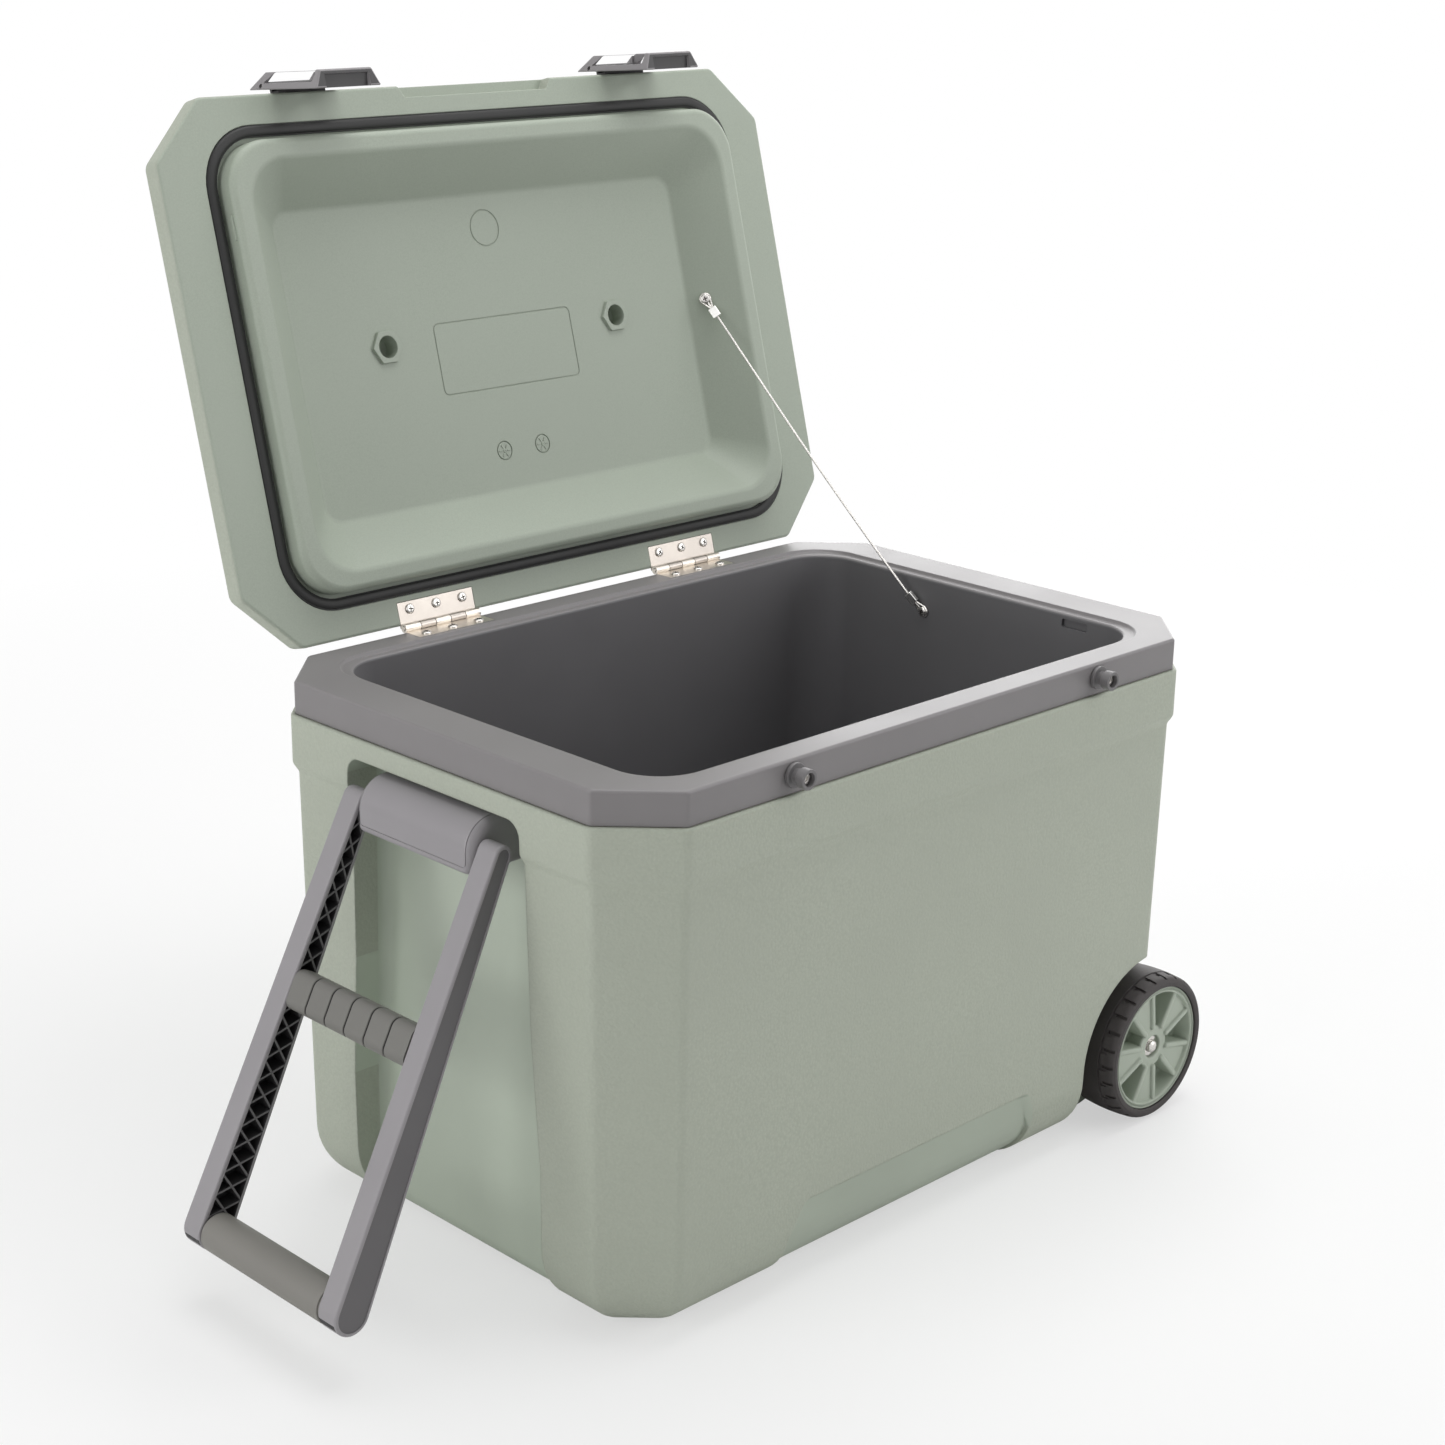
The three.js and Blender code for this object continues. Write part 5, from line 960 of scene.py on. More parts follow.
# Screws and the stay cable
def pan_head(name, centre, normal, radius=SCREW_HEAD, rise=SCREW_RISE):
    """A domed screw head with a cross recess, on a face at centre; the shank lies under it."""
    profile = [(SHANK, -SHANK_LENGTH), (SHANK, -SHANK_NECK), (radius, -HEAD_UNDER),
               (radius, rise * HEAD_SIDE_SHARE)]
    profile += [(radius * r, rise * z) for r, z in HEAD_CROWN_SHARES]
    head = turned(name, profile, (0, 0, 0), "z", 28, steel, cross_recess_shade)
    wide, long = radius * CROSS_WIDE_SHARE, radius * CROSS_LONG_SHARE
    low = rise - CROSS_DEEP
    cross = block("cross", (-long, -wide, low), (long, wide, rise + CUT))
    other = block("other", (-wide, -long, low), (wide, long, rise + CUT))
    cut(head, join(cross, other))

    def in_cross(m, n):
        small, large = sorted((abs(m.x), abs(m.y)))
        return (low - CLOSE < m.z < rise - 2 * CLOSE and small < wide + 2 * HAIR
                and large < long + 2 * HAIR)

    paint(head, 0, lambda m, n: True)
    # Faces in the cross recess get the dark metal, as painted shade.
    paint(head, 1, in_cross)
    turn = Vector(normal).to_track_quat("Z", "Y").to_matrix().to_4x4()
    head.data.transform(Matrix.Translation(Vector(centre) * MM) @ turn
                        @ Matrix.Rotation(CROSS_TURN + centre[0], 4, "Z"))
    return head


def build_leaf_screws():
    for side, name in ((-1, "left"), (1, "right")):
        for i, letter in enumerate("abc"):
            x = side * HINGE_X + (i - 1) * SCREW_STEP
            head = pan_head(f"tub_screw_{name}_{letter}", (x, SCREW_Y, RIM_TOP), (0, 0, 1))
            placed(head, "tub", "steel", f"tub_leaf_screw_{name}_{letter}", sharp=35)
            head = pan_head(f"lid_screw_{name}_{letter}", (x, SCREW_Y, LID_UNDER), (0, 0, -1))
            placed(opened(head), "lid", "steel", f"lid_leaf_screw_{name}_{letter}", sharp=35)


def cable_route():
    """The two eyes, their outward directions, the cable's lead directions and its points."""
    turn = open_turn(1)
    lid_normal = (turn.to_3x3() @ Vector(LID_EYE_NORMAL)).normalized()
    tub_normal = Vector(TUB_EYE_NORMAL)
    lid_eye = turn @ Vector(LID_EYE) + lid_normal * EYE_RISE
    tub_eye = Vector(TUB_EYE) + tub_normal * EYE_RISE
    along = (tub_eye - lid_eye).normalized()

    def lifted(direction, normal):
        flat = (direction - normal * direction.dot(normal)).normalized()
        return (flat + normal * LEAD_LIFT_SHARE).normalized()

    lid_lead, tub_lead = lifted(along, lid_normal), lifted(-along, tub_normal)
    middle = (lid_eye + tub_eye) / 2 - Vector((0, 0, CABLE_SAG))
    lid_tail, tub_tail = lid_eye + lid_lead * EYE_REACH, tub_eye + tub_lead * EYE_REACH
    corners = [lid_tail, lid_tail + lid_lead * CABLE_LEAD, middle,
               tub_tail + tub_lead * CABLE_LEAD, tub_tail]
    return ((lid_eye, lid_normal, lid_lead), (tub_eye, tub_normal, tub_lead),
            spline(corners, 10))


def spline(corners, steps):
    """Smooth line through the corners."""
    points = []
    ends = [corners[0] * 2 - corners[1]] + corners + [corners[-1] * 2 - corners[-2]]
    for a, b, c, d in zip(ends, ends[1:], ends[2:], ends[3:]):
        in_b, in_c = (b - a).length ** 0.5, (c - b).length ** 0.5
        out = (d - c).length ** 0.5
        first = ((b - a) / in_b - (c - a) / (in_b + in_c) + (c - b) / in_c) * in_c
        last = ((c - b) / in_c - (d - b) / (in_c + out) + (d - c) / out) * in_c
        for s in range(steps):
            t = s / steps
            points.append(b * (2 * t ** 3 - 3 * t ** 2 + 1) + first * (t ** 3 - 2 * t ** 2 + t)
                          + c * (3 * t ** 2 - 2 * t ** 3) + last * (t ** 3 - t ** 2))
    return points + [corners[-1]]


def tube(name, points, section, *materials):
    """Tube along points; section(distance) gives its outline at that place."""
    rings = []
    run = 0.0
    side = None
    for i, point in enumerate(points):
        ahead = (points[min(i + 1, len(points) - 1)] - points[max(i - 1, 0)]).normalized()
        if side is None:
            side = ahead.orthogonal().normalized()
        side = (side - ahead * side.dot(ahead)).normalized()
        other = ahead.cross(side)
        run += (point - points[i - 1]).length if i else 0
        rings.append([tuple(point + side * u + other * v) for u, v in section(run)])
    return loft(name, rings, *materials)


def build_stay():
    lid_end, tub_end, points = cable_route()
    fine = []
    for a, b in zip(points, points[1:]):
        parts = max(1, round((b - a).length / CABLE_STEP))
        fine += [a.lerp(b, i / parts) for i in range(parts)]
    fine.append(points[-1])

    def strands(run):
        outline = []
        for i in range(STRANDS * 4):
            angle = 2 * math.pi * i / (STRANDS * 4)
            lobe = abs(math.cos(STRANDS * angle / 2))
            radius = CABLE_RADIUS * (1 - STRAND_SHARE + STRAND_SHARE * lobe)
            turn = angle + 2 * math.pi * run / LAY_LENGTH
            outline.append((radius * math.cos(turn), radius * math.sin(turn)))
        return outline

    rope = tube("stay_rope", fine, strands, steel)
    extras = []
    for name, (eye, normal, lead) in (("lid", lid_end), ("tub", tub_end)):
        across = normal.cross(lead).normalized()
        ahead = across.cross(normal).normalized()
        end = eye + lead * (EYE_REACH + SLEEVE_START)
        round_eye = [eye + (across * c - ahead * s) * EYE_LOOP for c, s in arc(-40, 220, 16)]
        loop = [end + across * EYE_WIRE, *round_eye, end - across * EYE_WIRE]
        wire = tube(f"stay_eye_{name}", loop,
                    lambda run: round_at(0, 0, EYE_WIRE, 0, 324, 9), steel)
        sleeve = block(f"stay_sleeve_{name}", (-SLEEVE_HALF, -SLEEVE_FLAT, 0),
                       (SLEEVE_HALF, SLEEVE_FLAT, SLEEVE_LENGTH), sleeve_bright)
        soften(sleeve, SLEEVE_SOFT, 3)
        turn = Matrix((across, lead.cross(across), lead)).transposed().to_4x4()
        sleeve.data.transform(Matrix.Translation(end * MM) @ turn)
        placed(wire, name, "steel", "stay_cable")
        placed(sleeve, name, "steel", "stay_cable")
        extras += [wire, sleeve]
        head = pan_head(f"stay_head_{name}", tuple(eye + normal * STAY_SEAT), tuple(normal),
                        STAY_HEAD, STAY_RISE)
        placed(head, name, "steel", f"stay_screw_{name}", sharp=35)
    smooth(rope, 60)
    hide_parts("stay_cable")
    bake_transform(rope)


# Latches
def latch_form():
    def level(half, top, low, out):
        return [(-half, out, top), (half, out, top), (half, out, low), (-half, out, low)]

    return loft("latch", [level(LATCH_HALF, LATCH_TOP, -LATCH_LOW, LATCH_INNER),
                          level(LATCH_HALF_OUT, LATCH_TOP_OUT, -LATCH_LOW_OUT, -LATCH_OUTER)],
                latch_grey, dark_plastic)


def build_latch(name, side):
    latch = latch_form()
    soften(latch, LATCH_SOFT, 3, 20)
    wide, far, near = LATCH_HALF + 5 * CUT, LATCH_OUTER + 5 * CUT, LATCH_INNER + CUT
    thin = LATCH_OUTER - LATCH_SKIN
    foot = -LATCH_WALL - CUT
    window = prism("window", [(-LATCH_RAIL, -LATCH_EAR), (-LATCH_RAIL, -LATCH_WALL),
                              (-thin, foot), (-thin, -LATCH_EAR_OUT)], -wide, wide, "x")
    soften(window, WINDOW_SOFT, 3, 20)
    tray_half = LATCH_TRAY - 2 * CUT
    open_top = block("open_top", (-tray_half, -far, foot),
                     (tray_half, -LATCH_RAIL - CUT, -LATCH_EAR_OUT))
    tray = block("tray", (-LATCH_TRAY, -far, -LATCH_WALL), (LATCH_TRAY, 0, LATCH_TRAY_TOP))
    heel = block("heel", (-BASE_HALF - GAP, -far, -HEEL_LOW),
                 (BASE_HALF + GAP, near, LATCH_TOP + CUT))
    under_half, under_out, under_top = (LATCH_HALF_OUT - UNDER_WALL, -LATCH_OUTER + UNDER_SKIN,
                                        -LATCH_WALL - UNDER_WALL)
    under = block("under", (-under_half, under_out, -LATCH_LOW - CUT),
                  (under_half, near, under_top))
    soften(under, UNDER_SOFT, 2, 20)
    hole = disc("hole", LATCH_HOLE, -far, near, (0, 0, -LATCH_HOLE_DOWN), "y")
    bore = disc("bore", LATCH_BORE, -wide, wide, (0, 0, 0), "x")
    cut(latch, window, open_top, tray, heel, under, hole, bore)
    # The wall facing down the latch inside its hollow underside gets the dark grey, as painted shade.
    paint(latch, 1, lambda m, n: m.z < under_top + CLOSE and abs(m.x) < under_half + CLOSE
          and under_out - CLOSE < m.y < LATCH_INNER - 2 * CLOSE and n.z < -FACING_SHARE)
    pin = Vector((side * LATCH_X, *LATCH_PIN))
    latch.data.transform(open_turn(MM) @ Matrix.Translation(pin * MM)
                         @ Matrix.Rotation(LATCH_FLOP, 4, "X"))
    latch.name = f"latch_{name}_body"
    placed(latch, f"latch_{name}", "grey_plastic", f"latch_{name}", sharp=35)


# Handle
def block_outline(e):
    """The bracket's side view, drawn in by e at the front, top and foot."""
    corners = ((BLOCK_BACK, BLOCK_TOP - e), (BLOCK_FRONT + e, BLOCK_TOP - e),
               (BLOCK_FRONT + e, BLOCK_LOW + e * 0.5), (BLOCK_BACK, BLOCK_LOW + e * 0.5))
    return filleted(corners, (0, BLOCK_ROUND - e * 0.5, BLOCK_LOW_ROUND, 0), 10)


def block_form(name, inwards, *materials):
    half, turn = BLOCK_HALF - inwards, BLOCK_END - inwards
    sides = [(half - turn + turn * c, inwards + turn * (1 - s)) for c, s in arc(0, 90, 8)]
    places = [(-y, e) for y, e in sides] + [(y, e) for y, e in sides[::-1]]
    rings = [[(x, y, z) for x, z in block_outline(e)] for y, e in places]
    return loft(name, rings, *materials)


def build_bracket():
    bracket = block_form("bracket", 0, handle_grey, rib_shade_and_side_grey)

    def line_frame(name, e):
        half, low, top = BLOCK_HALF - INSET_LINE - e, BLOCK_LOW + INSET_LINE + e, BLOCK_TOP + FAR
        corners = ((-half, low), (half, low), (half, top), (-half, top))
        return prism(name, rounded(corners, LINE_ROUND - e, 4), BLOCK_FRONT - 5 * CUT,
                     BLOCK_BACK - LINE_END, "x")

    line = line_frame("line", 0)
    cut(line, line_frame("line_inside", LINE_WIDTH), block_form("line_under", LINE_DEPTH))
    cut(bracket, line)
    paint(bracket, 0, lambda m, n: True)
    for side in (-1, 1):
        a, b = sorted((side * (BLOCK_HALF - PIN_DEEP), side * (BLOCK_HALF + CUT)))
        cut(bracket, disc("pin_room", PIN_ROOM, a, b, (PIVOT_X, 0, PIVOT_Z), "y"))
    placed(bracket, "tub", "grey_plastic", "handle_bracket", sharp=35)


def tilted(obj, hand=1):
    """From the handle's own upright frame to its place; hand -1 mirrors it to the front side."""
    return moved(mirrored(obj) if hand < 0 else obj, (PIVOT_X, 0, PIVOT_Z), TILT, "Y")


def arm_outline(inset):
    top, foot = ARM_TOP_RADIUS - inset, ARM_FOOT_RADIUS - inset
    return (round_at(0, 0, top, 0, 180, 16)
            + round_at(FOOT_SHIFT, -ARM_LENGTH, foot, 180, 360, 20))


def arm_ribs(start, end):
    """Crossed ribs down the arm's pocket, between two depths."""
    pitch = (ARM_LENGTH - 2 * ARM_TOP_RADIUS) / ARM_RIBS
    ribs = None
    for i in range(ARM_RIBS):
        top = -ARM_TOP_RADIUS - i * pitch
        wide = 2 * ARM_TOP_RADIUS + 2 * FOOT_SHIFT * (pitch / 2 - top) / ARM_LENGTH
        long = math.hypot(pitch, wide) / 2
        middle = (wide / 2 - ARM_TOP_RADIUS, 0, top - pitch / 2)
        for lean in (-1, 1):
            rib = block("rib", (-long, start, -ARM_RIB / 2), (long, end, ARM_RIB / 2))
            moved(rib, middle, lean * math.atan2(pitch, wide - ARM_WALL), "Y")
            ribs = join(ribs, rib) if ribs else rib
    return ribs


def build_arm(name, hand):
    outer, depth = ARM_INNER + ARM_THICK, ARM_INNER + ARM_POCKET
    start, panel = ARM_INNER - CUT, outer - SIDE_INSET
    arm = prism("arm", arm_outline(0), ARM_INNER, outer, "y", handle_grey, rib_shade_and_side_grey, painted_hollow_shade)
    soften(arm, ARM_SOFT, 3, 60)
    cut(arm, prism("side_inset", arm_outline(SIDE_RIM), panel, outer + 2 * CUT, "y"))
    cut(arm, prism("pocket", arm_outline(ARM_WALL), start, depth, "y"))
    ribs = arm_ribs(ARM_INNER + RIB_SUNK, depth + CUT)
    inside = prism("inside", arm_outline(ARM_WALL / 2), start, outer - CUT, "y")
    combine(ribs, inside, "INTERSECT")
    join(arm, ribs)
    join(arm, disc("boss", ARM_BOSS, ARM_INNER, depth + CUT, (0, 0, 0), "y"),
         disc("foot_boss", FOOT_BOSS, ARM_INNER + FOOT_BOSS_SUNK, depth + CUT,
              (FOOT_SHIFT, 0, -ARM_LENGTH), "y"))
    cut(arm, disc("pin_hole", PIN_ROOM, start, depth + GAP, (0, 0, 0), "y"))
    clean(arm, FINE_FLAT, HAIR)
    rib_top, floor_end = ARM_INNER + RIB_SUNK - CLOSE, depth + 2 * CLOSE
    paint(arm, 0, lambda m, n: True)
    # In the pocket the rib tops take the darker grey and the rib sides and floor the near black, all
    # painted shade; the sunken outer side panel takes the same darker grey.
    paint(arm, 1, lambda m, n: rib_top < m.y < floor_end and n.y < -SQUARE_SHARE)
    paint(arm, 2, lambda m, n: rib_top + 2 * CLOSE < m.y < floor_end
          and (abs(n.y) < SIDEWAYS_SHARE and inside_pocket(m) or m.y > depth - 5 * CLOSE))
    paint(arm, 1, lambda m, n: abs(m.y - panel) < CLOSE and n.y > SQUARE_SHARE)
    splay = Matrix.Identity(4)
    splay[1][2] = -ARM_SPLAY_SHARE
    arm.data.transform(splay)
    arm.name = f"arm_{name}"
    placed(tilted(arm, hand), "handle", "grey_plastic", f"handle_arm_{name}", sharp=35)


def inside_pocket(middle):
    """True between the walls of the arm's pocket."""
    share = max(0.0, min(1.0, -middle.z / ARM_LENGTH))
    front = -ARM_TOP_RADIUS + ARM_WALL
    back = ARM_TOP_RADIUS + 2 * FOOT_SHIFT * share - ARM_WALL
    low, high = -ARM_LENGTH - ARM_FOOT_RADIUS + ARM_WALL, ARM_TOP_RADIUS - ARM_WALL + 3 * CLOSE
    return front < middle.x < back and low < middle.z < high


def build_crossbar():
    half = ARM_INNER + ARM_SPLAY_SHARE * BAR_TOP - GAP
    bottom, top = -BAR_TOP - BAR_HEIGHT, -BAR_TOP

    def section(y, e):
        x1, x2, z1, z2 = -ARM_TOP_RADIUS + e, BAR_DEPTH - ARM_TOP_RADIUS - e, bottom + e, top - e
        corners = ((x1, z1), (x2, z1), (x2, z2), (x1, z2))
        return [(x, y, z) for x, z in rounded(corners, BAR_ROUND - e, 8)]

    pitch = 2 * half / BAR_PARTS
    groove = BAR_GROOVE / 2
    edges = ((groove + BAR_EDGE, 0), (groove, BAR_EDGE),
             (groove * BAR_FLOOR_SHARE, BAR_GROOVE_DEPTH))
    rings = [section(-half, 0)]
    for i in range(1, BAR_PARTS):
        y = -half + i * pitch
        rings += [section(y - away, e) for away, e in edges]
        rings += [section(y + away, e) for away, e in edges[::-1]]
    rings.append(section(half, 0))
    bar = loft("crossbar", rings, bar_grey, painted_hollow_shade)

    def grooved(m, n):
        place = (m.y + half) % pitch
        return min(place, pitch - place) < groove * BAR_DARK_SHARE and abs(m.y) < half - BAR_END

    # Faces in the crossbar's grooves get the near black painted shade.
    paint(bar, 1, grooved)
    placed(tilted(bar), "handle", "grip_plastic", "handle_crossbar", sharp=35)


def build_grip():
    half = ARM_INNER + ARM_SPLAY_SHARE * (ARM_LENGTH - ARM_FOOT_RADIUS) - GAP
    neck, collar = GRIP_RADIUS - GRIP_NECK, -half + GRIP_COLLAR
    profile = [(neck, -half), (neck, collar)]
    profile += [(GRIP_RADIUS - GRIP_EDGE * (1 - s), collar + GRIP_EDGE * (1 - c))
                for c, s in arc(0, 90, 3)]
    profile += [(r, -y) for r, y in profile[::-1]]
    grip = turned("grip", profile, (FOOT_SHIFT, 0, -ARM_LENGTH), "y", 64, grip_grey)
    placed(tilted(grip), "handle", "grip_plastic", "handle_grip", sharp=35)


# Wheels, built at the back and mirrored to the front
def wheel_placed(obj, name, hand, slot, *nodes, sharp=35):
    moved(mirrored(obj) if hand < 0 else obj, (WHEEL_X, 0, WHEEL_Z))
    placed(obj, f"wheel_{name}", slot, *nodes, sharp=sharp)


def build_tyre(name, hand):
    face, back = WHEEL_FACE, WHEEL_FACE - TYRE_WIDTH
    seam = face - BLOCK_REACH

    def tread(y):
        return WHEEL_RADIUS - CROWN * ((y - (face + back) / 2) / (TYRE_WIDTH / 2)) ** 2

    wall, turn = SIDEWALL - BACK_STEP, SHOULDER
    profile = [(TYRE_BORE, back), (wall, back)]
    profile += [(wall + (tread(back + turn) - wall) * s, back + turn * (1 - c))
                for c, s in arc(0, 90, 8)]
    for i in range(1, 6):
        y = back + turn + (seam - SEAM_START - back - turn) * i / 5
        profile.append((tread(y), y))
    profile += [(tread(seam) - deep, seam + along) for along, deep in SEAM_GROOVE]
    profile += [(SIDEWALL + (tread(face - turn) - SIDEWALL) * s,
                 face - FACE_STEP - (turn - FACE_STEP) * (1 - c)) for c, s in arc(90, 0, 8)]
    profile += [(SIDEWALL - WALL_EDGE, face), (TYRE_BORE + BORE_EDGE, face),
                (TYRE_BORE, face - WALL_EDGE)]
    tyre = lathe(f"tyre_{name}_rubber", profile, (0, 0, 0), "y", 156, tyre_rubber)
    half, out = NOTCH / 2, WHEEL_RADIUS + 2 * CUT
    notches = None
    for i in range(BLOCKS):
        notch = block("notch", (SIDEWALL + NOTCH_IN, seam + NOTCH_LEAD, -half),
                      (out, face + CUT, half))
        join(notch, block("step", (WHEEL_RADIUS - STEP_DEEP, seam - STEP_START, -half),
                          (out, seam + STEP_END, NOTCH * STEP_SHARE)))
        moved(notch, (0, 0, 0), 2 * math.pi * i / BLOCKS, "Y")
        notches = join(notches, notch) if notches else notch
    cut(tyre, notches)
    wheel_placed(tyre, name, hand, "tyre", f"tyre_{name}")


def build_hub(name, hand):
    face = HUB_FACE
    rim_in = HUB_RADIUS - HUB_RIM
    web, web_back = face - WELL_DEEP, face - WELL_DEEP - HUB_WEB
    step, sunk = face - HUB_STEP, face - DISC_SUNK
    profile = [(HUB_BORE, HUB_BACK), (HUB_BOSS, HUB_BACK), (HUB_BOSS, web_back),
               (rim_in, web_back), (rim_in, HUB_RIM_BACK), (HUB_RADIUS, HUB_RIM_BACK),
               (HUB_RADIUS, face - HUB_EDGE), (HUB_RADIUS - HUB_EDGE, face)]
    profile += [(HUB_RADIUS - inwards, face - deep) for inwards, deep in RIM_GROOVE]
    profile += [(rim_in + HUB_EDGE, step), (rim_in, step - HUB_EDGE),
                (rim_in - WELL_ROUND, web + WELL_ROUND), (rim_in - 2 * WELL_ROUND, web),
                (HUB_DISC - DISC_FOOT, web), (HUB_DISC, sunk - DISC_EDGE),
                (HUB_DISC - DISC_EDGE, sunk), (CAP_RADIUS + CAP_EDGE, sunk),
                (CAP_RADIUS, sunk - CAP_EDGE), (CAP_RADIUS, face - CAP_DEEP),
                (HUB_BORE, face - CAP_DEEP)]
    hub = lathe("hub", profile, (0, 0, 0), "y", 120, shell_smooth)
    long = rim_in + SPOKE_LAP
    half = math.pi / SPOKES - WELL_HALF
    for i in range(SPOKES):
        start = WELL_START + 2 * math.pi * i / SPOKES
        for edge in (-1, 1):
            rib = block("rib", (HUB_DISC - SPOKE_ROOT, web - CUT, -SPOKE_RIB / 2),
                        (long, face - SPOKE_LOW, SPOKE_RIB / 2))
            soften(rib, SPOKE_SOFT, 3)
            join(hub, moved(rib, (0, 0, 0), start + edge * WELL_HALF, "Y"))
        centre = start + math.pi / SPOKES
        wedge = []
        for radius, turns in ((HUB_DISC - DISC_FOOT, (-1, 0, 1)), (long, (1, 0.5, 0, -0.5, -1))):
            for t in turns:
                angle = centre + t * half
                wedge.append((radius * math.cos(angle), -radius * math.sin(angle)))
        join(hub, prism("web", wedge, face - SPOKE_SUNK - HUB_WEB, face - SPOKE_SUNK, "y"))
    clean(hub, FINE_FLAT, HAIR)
    hub.name = f"hub_{name}"
    wheel_placed(hub, name, hand, "shell", f"wheel_hub_{name}", sharp=30)


def build_clip(name, hand):
    """Open ring that snaps into the axle's groove."""
    face = HUB_FACE - CLIP_DEEP
    outline = ((CLIP_INNER, face), (CLIP_OUTER, face), (CLIP_OUTER, face + CLIP_THICK),
               (CLIP_INNER, face + CLIP_THICK))
    clip = loft(f"clip_{name}", [[(radius * c, y, radius * s) for radius, y in outline]
                                 for c, s in arc(40, 320, 28)], steel)
    soften(clip, CLIP_SOFT, 2)
    wheel_placed(clip, name, hand, "steel", f"axle_clip_{name}")


def build_axle():
    reach = WHEEL_FACE - AXLE_END
    angles = [math.radians(a) for a in DOME_ANGLES]
    profile = [(AXLE_RADIUS * math.sin(a), -reach + AXLE_DOME * (1 - math.cos(a)))
               for a in angles]
    profile += [(r, -y) for r, y in profile[::-1]]
    axle = turned("axle_rod", profile, (WHEEL_X, 0, WHEEL_Z), "y", 40, steel)
    placed(axle, "tub", "steel", "axle")


# Frame nodes that keep their shape: softened edges and a finish
def dress(node, material, width=0.0):
    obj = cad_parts[node]
    obj.data.materials.clear()
    obj.data.materials.append(material)
    weld = obj.modifiers.new("weld", "WELD")
    weld.merge_threshold = HAIR * MM
    join_flat = obj.modifiers.new("join_flat", "DECIMATE")
    join_flat.decimate_type = "DISSOLVE"
    join_flat.angle_limit = math.radians(DRESS_FLAT)
    if width:
        edge = obj.modifiers.new("soften", "BEVEL")
        edge.width = width * MM
        edge.segments = 2
        edge.limit_method = "ANGLE"
        edge.angle_limit = math.radians(35)
    even = obj.modifiers.new("even", "WEIGHTED_NORMAL")
    even.keep_sharp = False


# Each with its finish and the width of its softened edges; the hinge's two nickel tones are painted
# light and shade
SIDE_PIECES = (("latch_base", dark_plastic, 0.5), ("latch_pin", steel, 0.0),
               ("latch_stud", stud_grey, 0.5), ("stud_screw", steel, 0.25),
               ("hinge_tub_leaf", nickel_lit, 0.2), ("hinge_lid_leaf", nickel_shaded, 0.2),
               ("hinge_pin", nickel_lit, 0.3))

build_tub_shell()
build_liner()
build_lid_shell()
build_lid_liner()
build_stamps()
build_gasket()
build_lid_foam()
build_leaf_screws()
build_stay()
for side, hand in (("left", -1), ("right", 1)):
    build_latch(side, hand)
    for piece, material, width in SIDE_PIECES:
        dress(f"{piece}_{side}", material, width)
build_bracket()
for end, hand in (("back", 1), ("front", -1)):
    build_arm(end, hand)
    dress(f"handle_pin_{end}", steel)
build_crossbar()
build_grip()
for end, hand in (("front", -1), ("back", 1)):
    build_tyre(end, hand)
    build_hub(end, hand)
    build_clip(end, hand)
build_axle()
dress("tub_foam", foam_white)


# Camera at the photo's viewing angle
PHOTO_SIZE = 1445.0
CAMERA_PLACE = (-1.33328, -1.30341, 0.94987)
CAMERA_AZIMUTH, CAMERA_ELEVATION, CAMERA_ROLL = -45.0551, 18.0967, 0.9253
CAMERA_FOCUS = 2619.89
SENSOR, CLIP_START, CLIP_END = 36.0, 0.05, 50


def build_camera():
    data = bpy.data.cameras.new("camera")
    camera = bpy.data.objects.new("camera", data)
    bpy.context.collection.objects.link(camera)
    azimuth, elevation, roll = (math.radians(v) for v in (CAMERA_AZIMUTH, CAMERA_ELEVATION,
                                                          CAMERA_ROLL))
    back = Vector((math.sin(azimuth) * math.cos(elevation),
                   -math.cos(azimuth) * math.cos(elevation), math.sin(elevation)))
    level = Vector((math.cos(azimuth), math.sin(azimuth), 0))
    above = back.cross(level)
    right = level * math.cos(roll) + above * math.sin(roll)
    up = above * math.cos(roll) - level * math.sin(roll)
    turn = Matrix((right, up, back)).transposed().to_4x4()
    camera.matrix_world = Matrix.Translation(CAMERA_PLACE) @ turn
    data.sensor_width = SENSOR
    data.lens = CAMERA_FOCUS / PHOTO_SIZE * SENSOR
    data.clip_start = CLIP_START
    data.clip_end = CLIP_END
    bpy.context.scene.camera = camera


# Lamps: place and aim in metres, size in metres and power in watts
LAMPS = {"key_left": ((-3.0, 0.5, 0.8), (0, 0, 0.3), 2.4, 48),
         "key_top": ((0.5, 0.1, 3.0), (0, 0, 0.3), 2.2, 46),
         "front_fill": ((1.9, -2.6, 1.7), (0, 0, 0.3), 2.2, 37),
         "back_right": ((1.9, 1.2, 0.9), (0, 0, 0.4), 1.8, 24)}
SURROUND_STRENGTH, SEEN_STRENGTH = 0.28, 1.0
# The floor, in mm, fades to white between two distances in metres from its middle
GROUND_HALF, GROUND_DROP, GROUND_SHARES = 9000.0, 0.2, (0.9, 0.9, 0.9, 1)
FADE_START, FADE_END, FADE_SHARES = 0.55, 1.9, (0.55, 1.0)


def build_lamp(name, place, aim, size, power):
    data = bpy.data.lights.new(name, "AREA")
    data.energy = power
    data.size = size
    lamp = bpy.data.objects.new(name, data)
    lamp.location = place
    lamp.rotation_mode = "QUATERNION"
    lamp.rotation_quaternion = (Vector(place) - Vector(aim)).to_track_quat("Z", "Y")
    bpy.context.collection.objects.link(lamp)


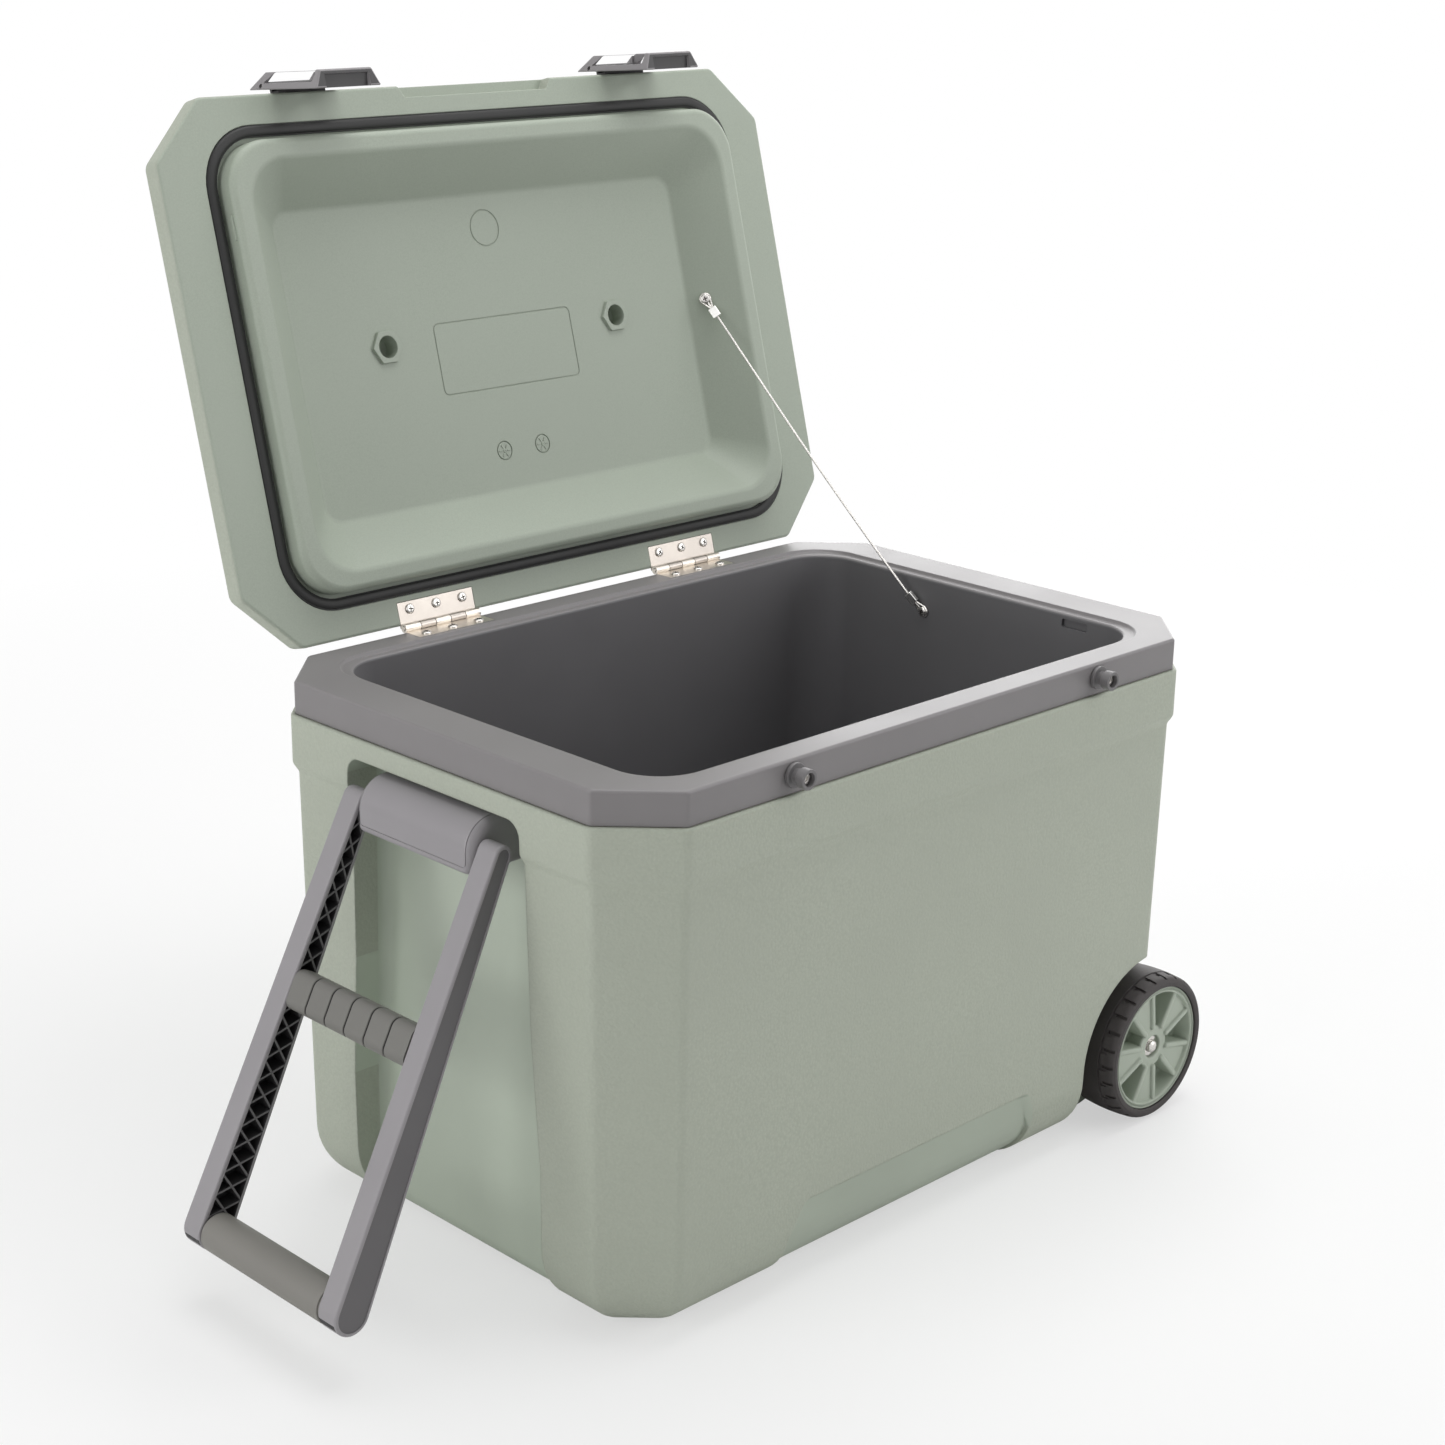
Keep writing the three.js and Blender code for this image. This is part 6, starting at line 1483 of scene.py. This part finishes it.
def build_light():
    """The lamps, and a surround that is brighter where it is seen than where it lights."""
    for name, settings in LAMPS.items():
        build_lamp(name, *settings)
    world = bpy.data.worlds.new("surround")
    world.use_nodes = True
    tree = world.node_tree
    background = tree.nodes["Background"]
    background.inputs["Color"].default_value = (1, 1, 1, 1)
    background.inputs["Strength"].default_value = SURROUND_STRENGTH
    plain = tree.nodes.new("ShaderNodeBackground")
    plain.inputs["Color"].default_value = (1, 1, 1, 1)
    plain.inputs["Strength"].default_value = SEEN_STRENGTH
    choose = tree.nodes.new("ShaderNodeMixShader")
    path = tree.nodes.new("ShaderNodeLightPath")
    seen = maths(tree, "MAXIMUM", path.outputs["Is Camera Ray"], path.outputs["Is Glossy Ray"])
    seen = maths(tree, "MAXIMUM", seen, path.outputs["Is Transmission Ray"])
    tree.links.new(seen, choose.inputs["Fac"])
    tree.links.new(background.outputs[0], choose.inputs[1])
    tree.links.new(plain.outputs[0], choose.inputs[2])
    tree.links.new(choose.outputs[0], tree.nodes["World Output"].inputs["Surface"])
    bpy.context.scene.world = world


def build_floor():
    corners = ((-1, -1), (1, -1), (1, 1), (-1, 1))
    floor = new_object("floor", [(x * GROUND_HALF, y * GROUND_HALF, -GROUND_DROP)
                                 for x, y in corners], [(0, 1, 2, 3)])
    material = bpy.data.materials.new("floor")
    material.use_nodes = True
    tree = material.node_tree
    tree.nodes.remove(tree.nodes["Principled BSDF"])
    diffuse = tree.nodes.new("ShaderNodeBsdfDiffuse")
    diffuse.inputs["Color"].default_value = GROUND_SHARES
    glow = tree.nodes.new("ShaderNodeEmission")
    glow.inputs["Color"].default_value = (1, 1, 1, 1)
    glow.inputs["Strength"].default_value = 1.0
    path = tree.nodes.new("ShaderNodeLightPath")
    place = tree.nodes.new("ShaderNodeTexCoord")
    distance = tree.nodes.new("ShaderNodeVectorMath")
    distance.operation = "LENGTH"
    tree.links.new(place.outputs["Object"], distance.inputs[0])
    fade = ramp(tree, distance.outputs["Value"], FADE_START, FADE_END, *FADE_SHARES)
    part = maths(tree, "MULTIPLY", path.outputs["Is Camera Ray"], fade)
    blend = tree.nodes.new("ShaderNodeMixShader")
    tree.links.new(part, blend.inputs["Fac"])
    tree.links.new(diffuse.outputs[0], blend.inputs[1])
    tree.links.new(glow.outputs[0], blend.inputs[2])
    tree.links.new(blend.outputs[0], tree.nodes["Material Output"].inputs["Surface"])
    floor.data.materials.append(material)


build_camera()
build_light()
build_floor()
bpy.context.scene.view_settings.view_transform = "Standard"
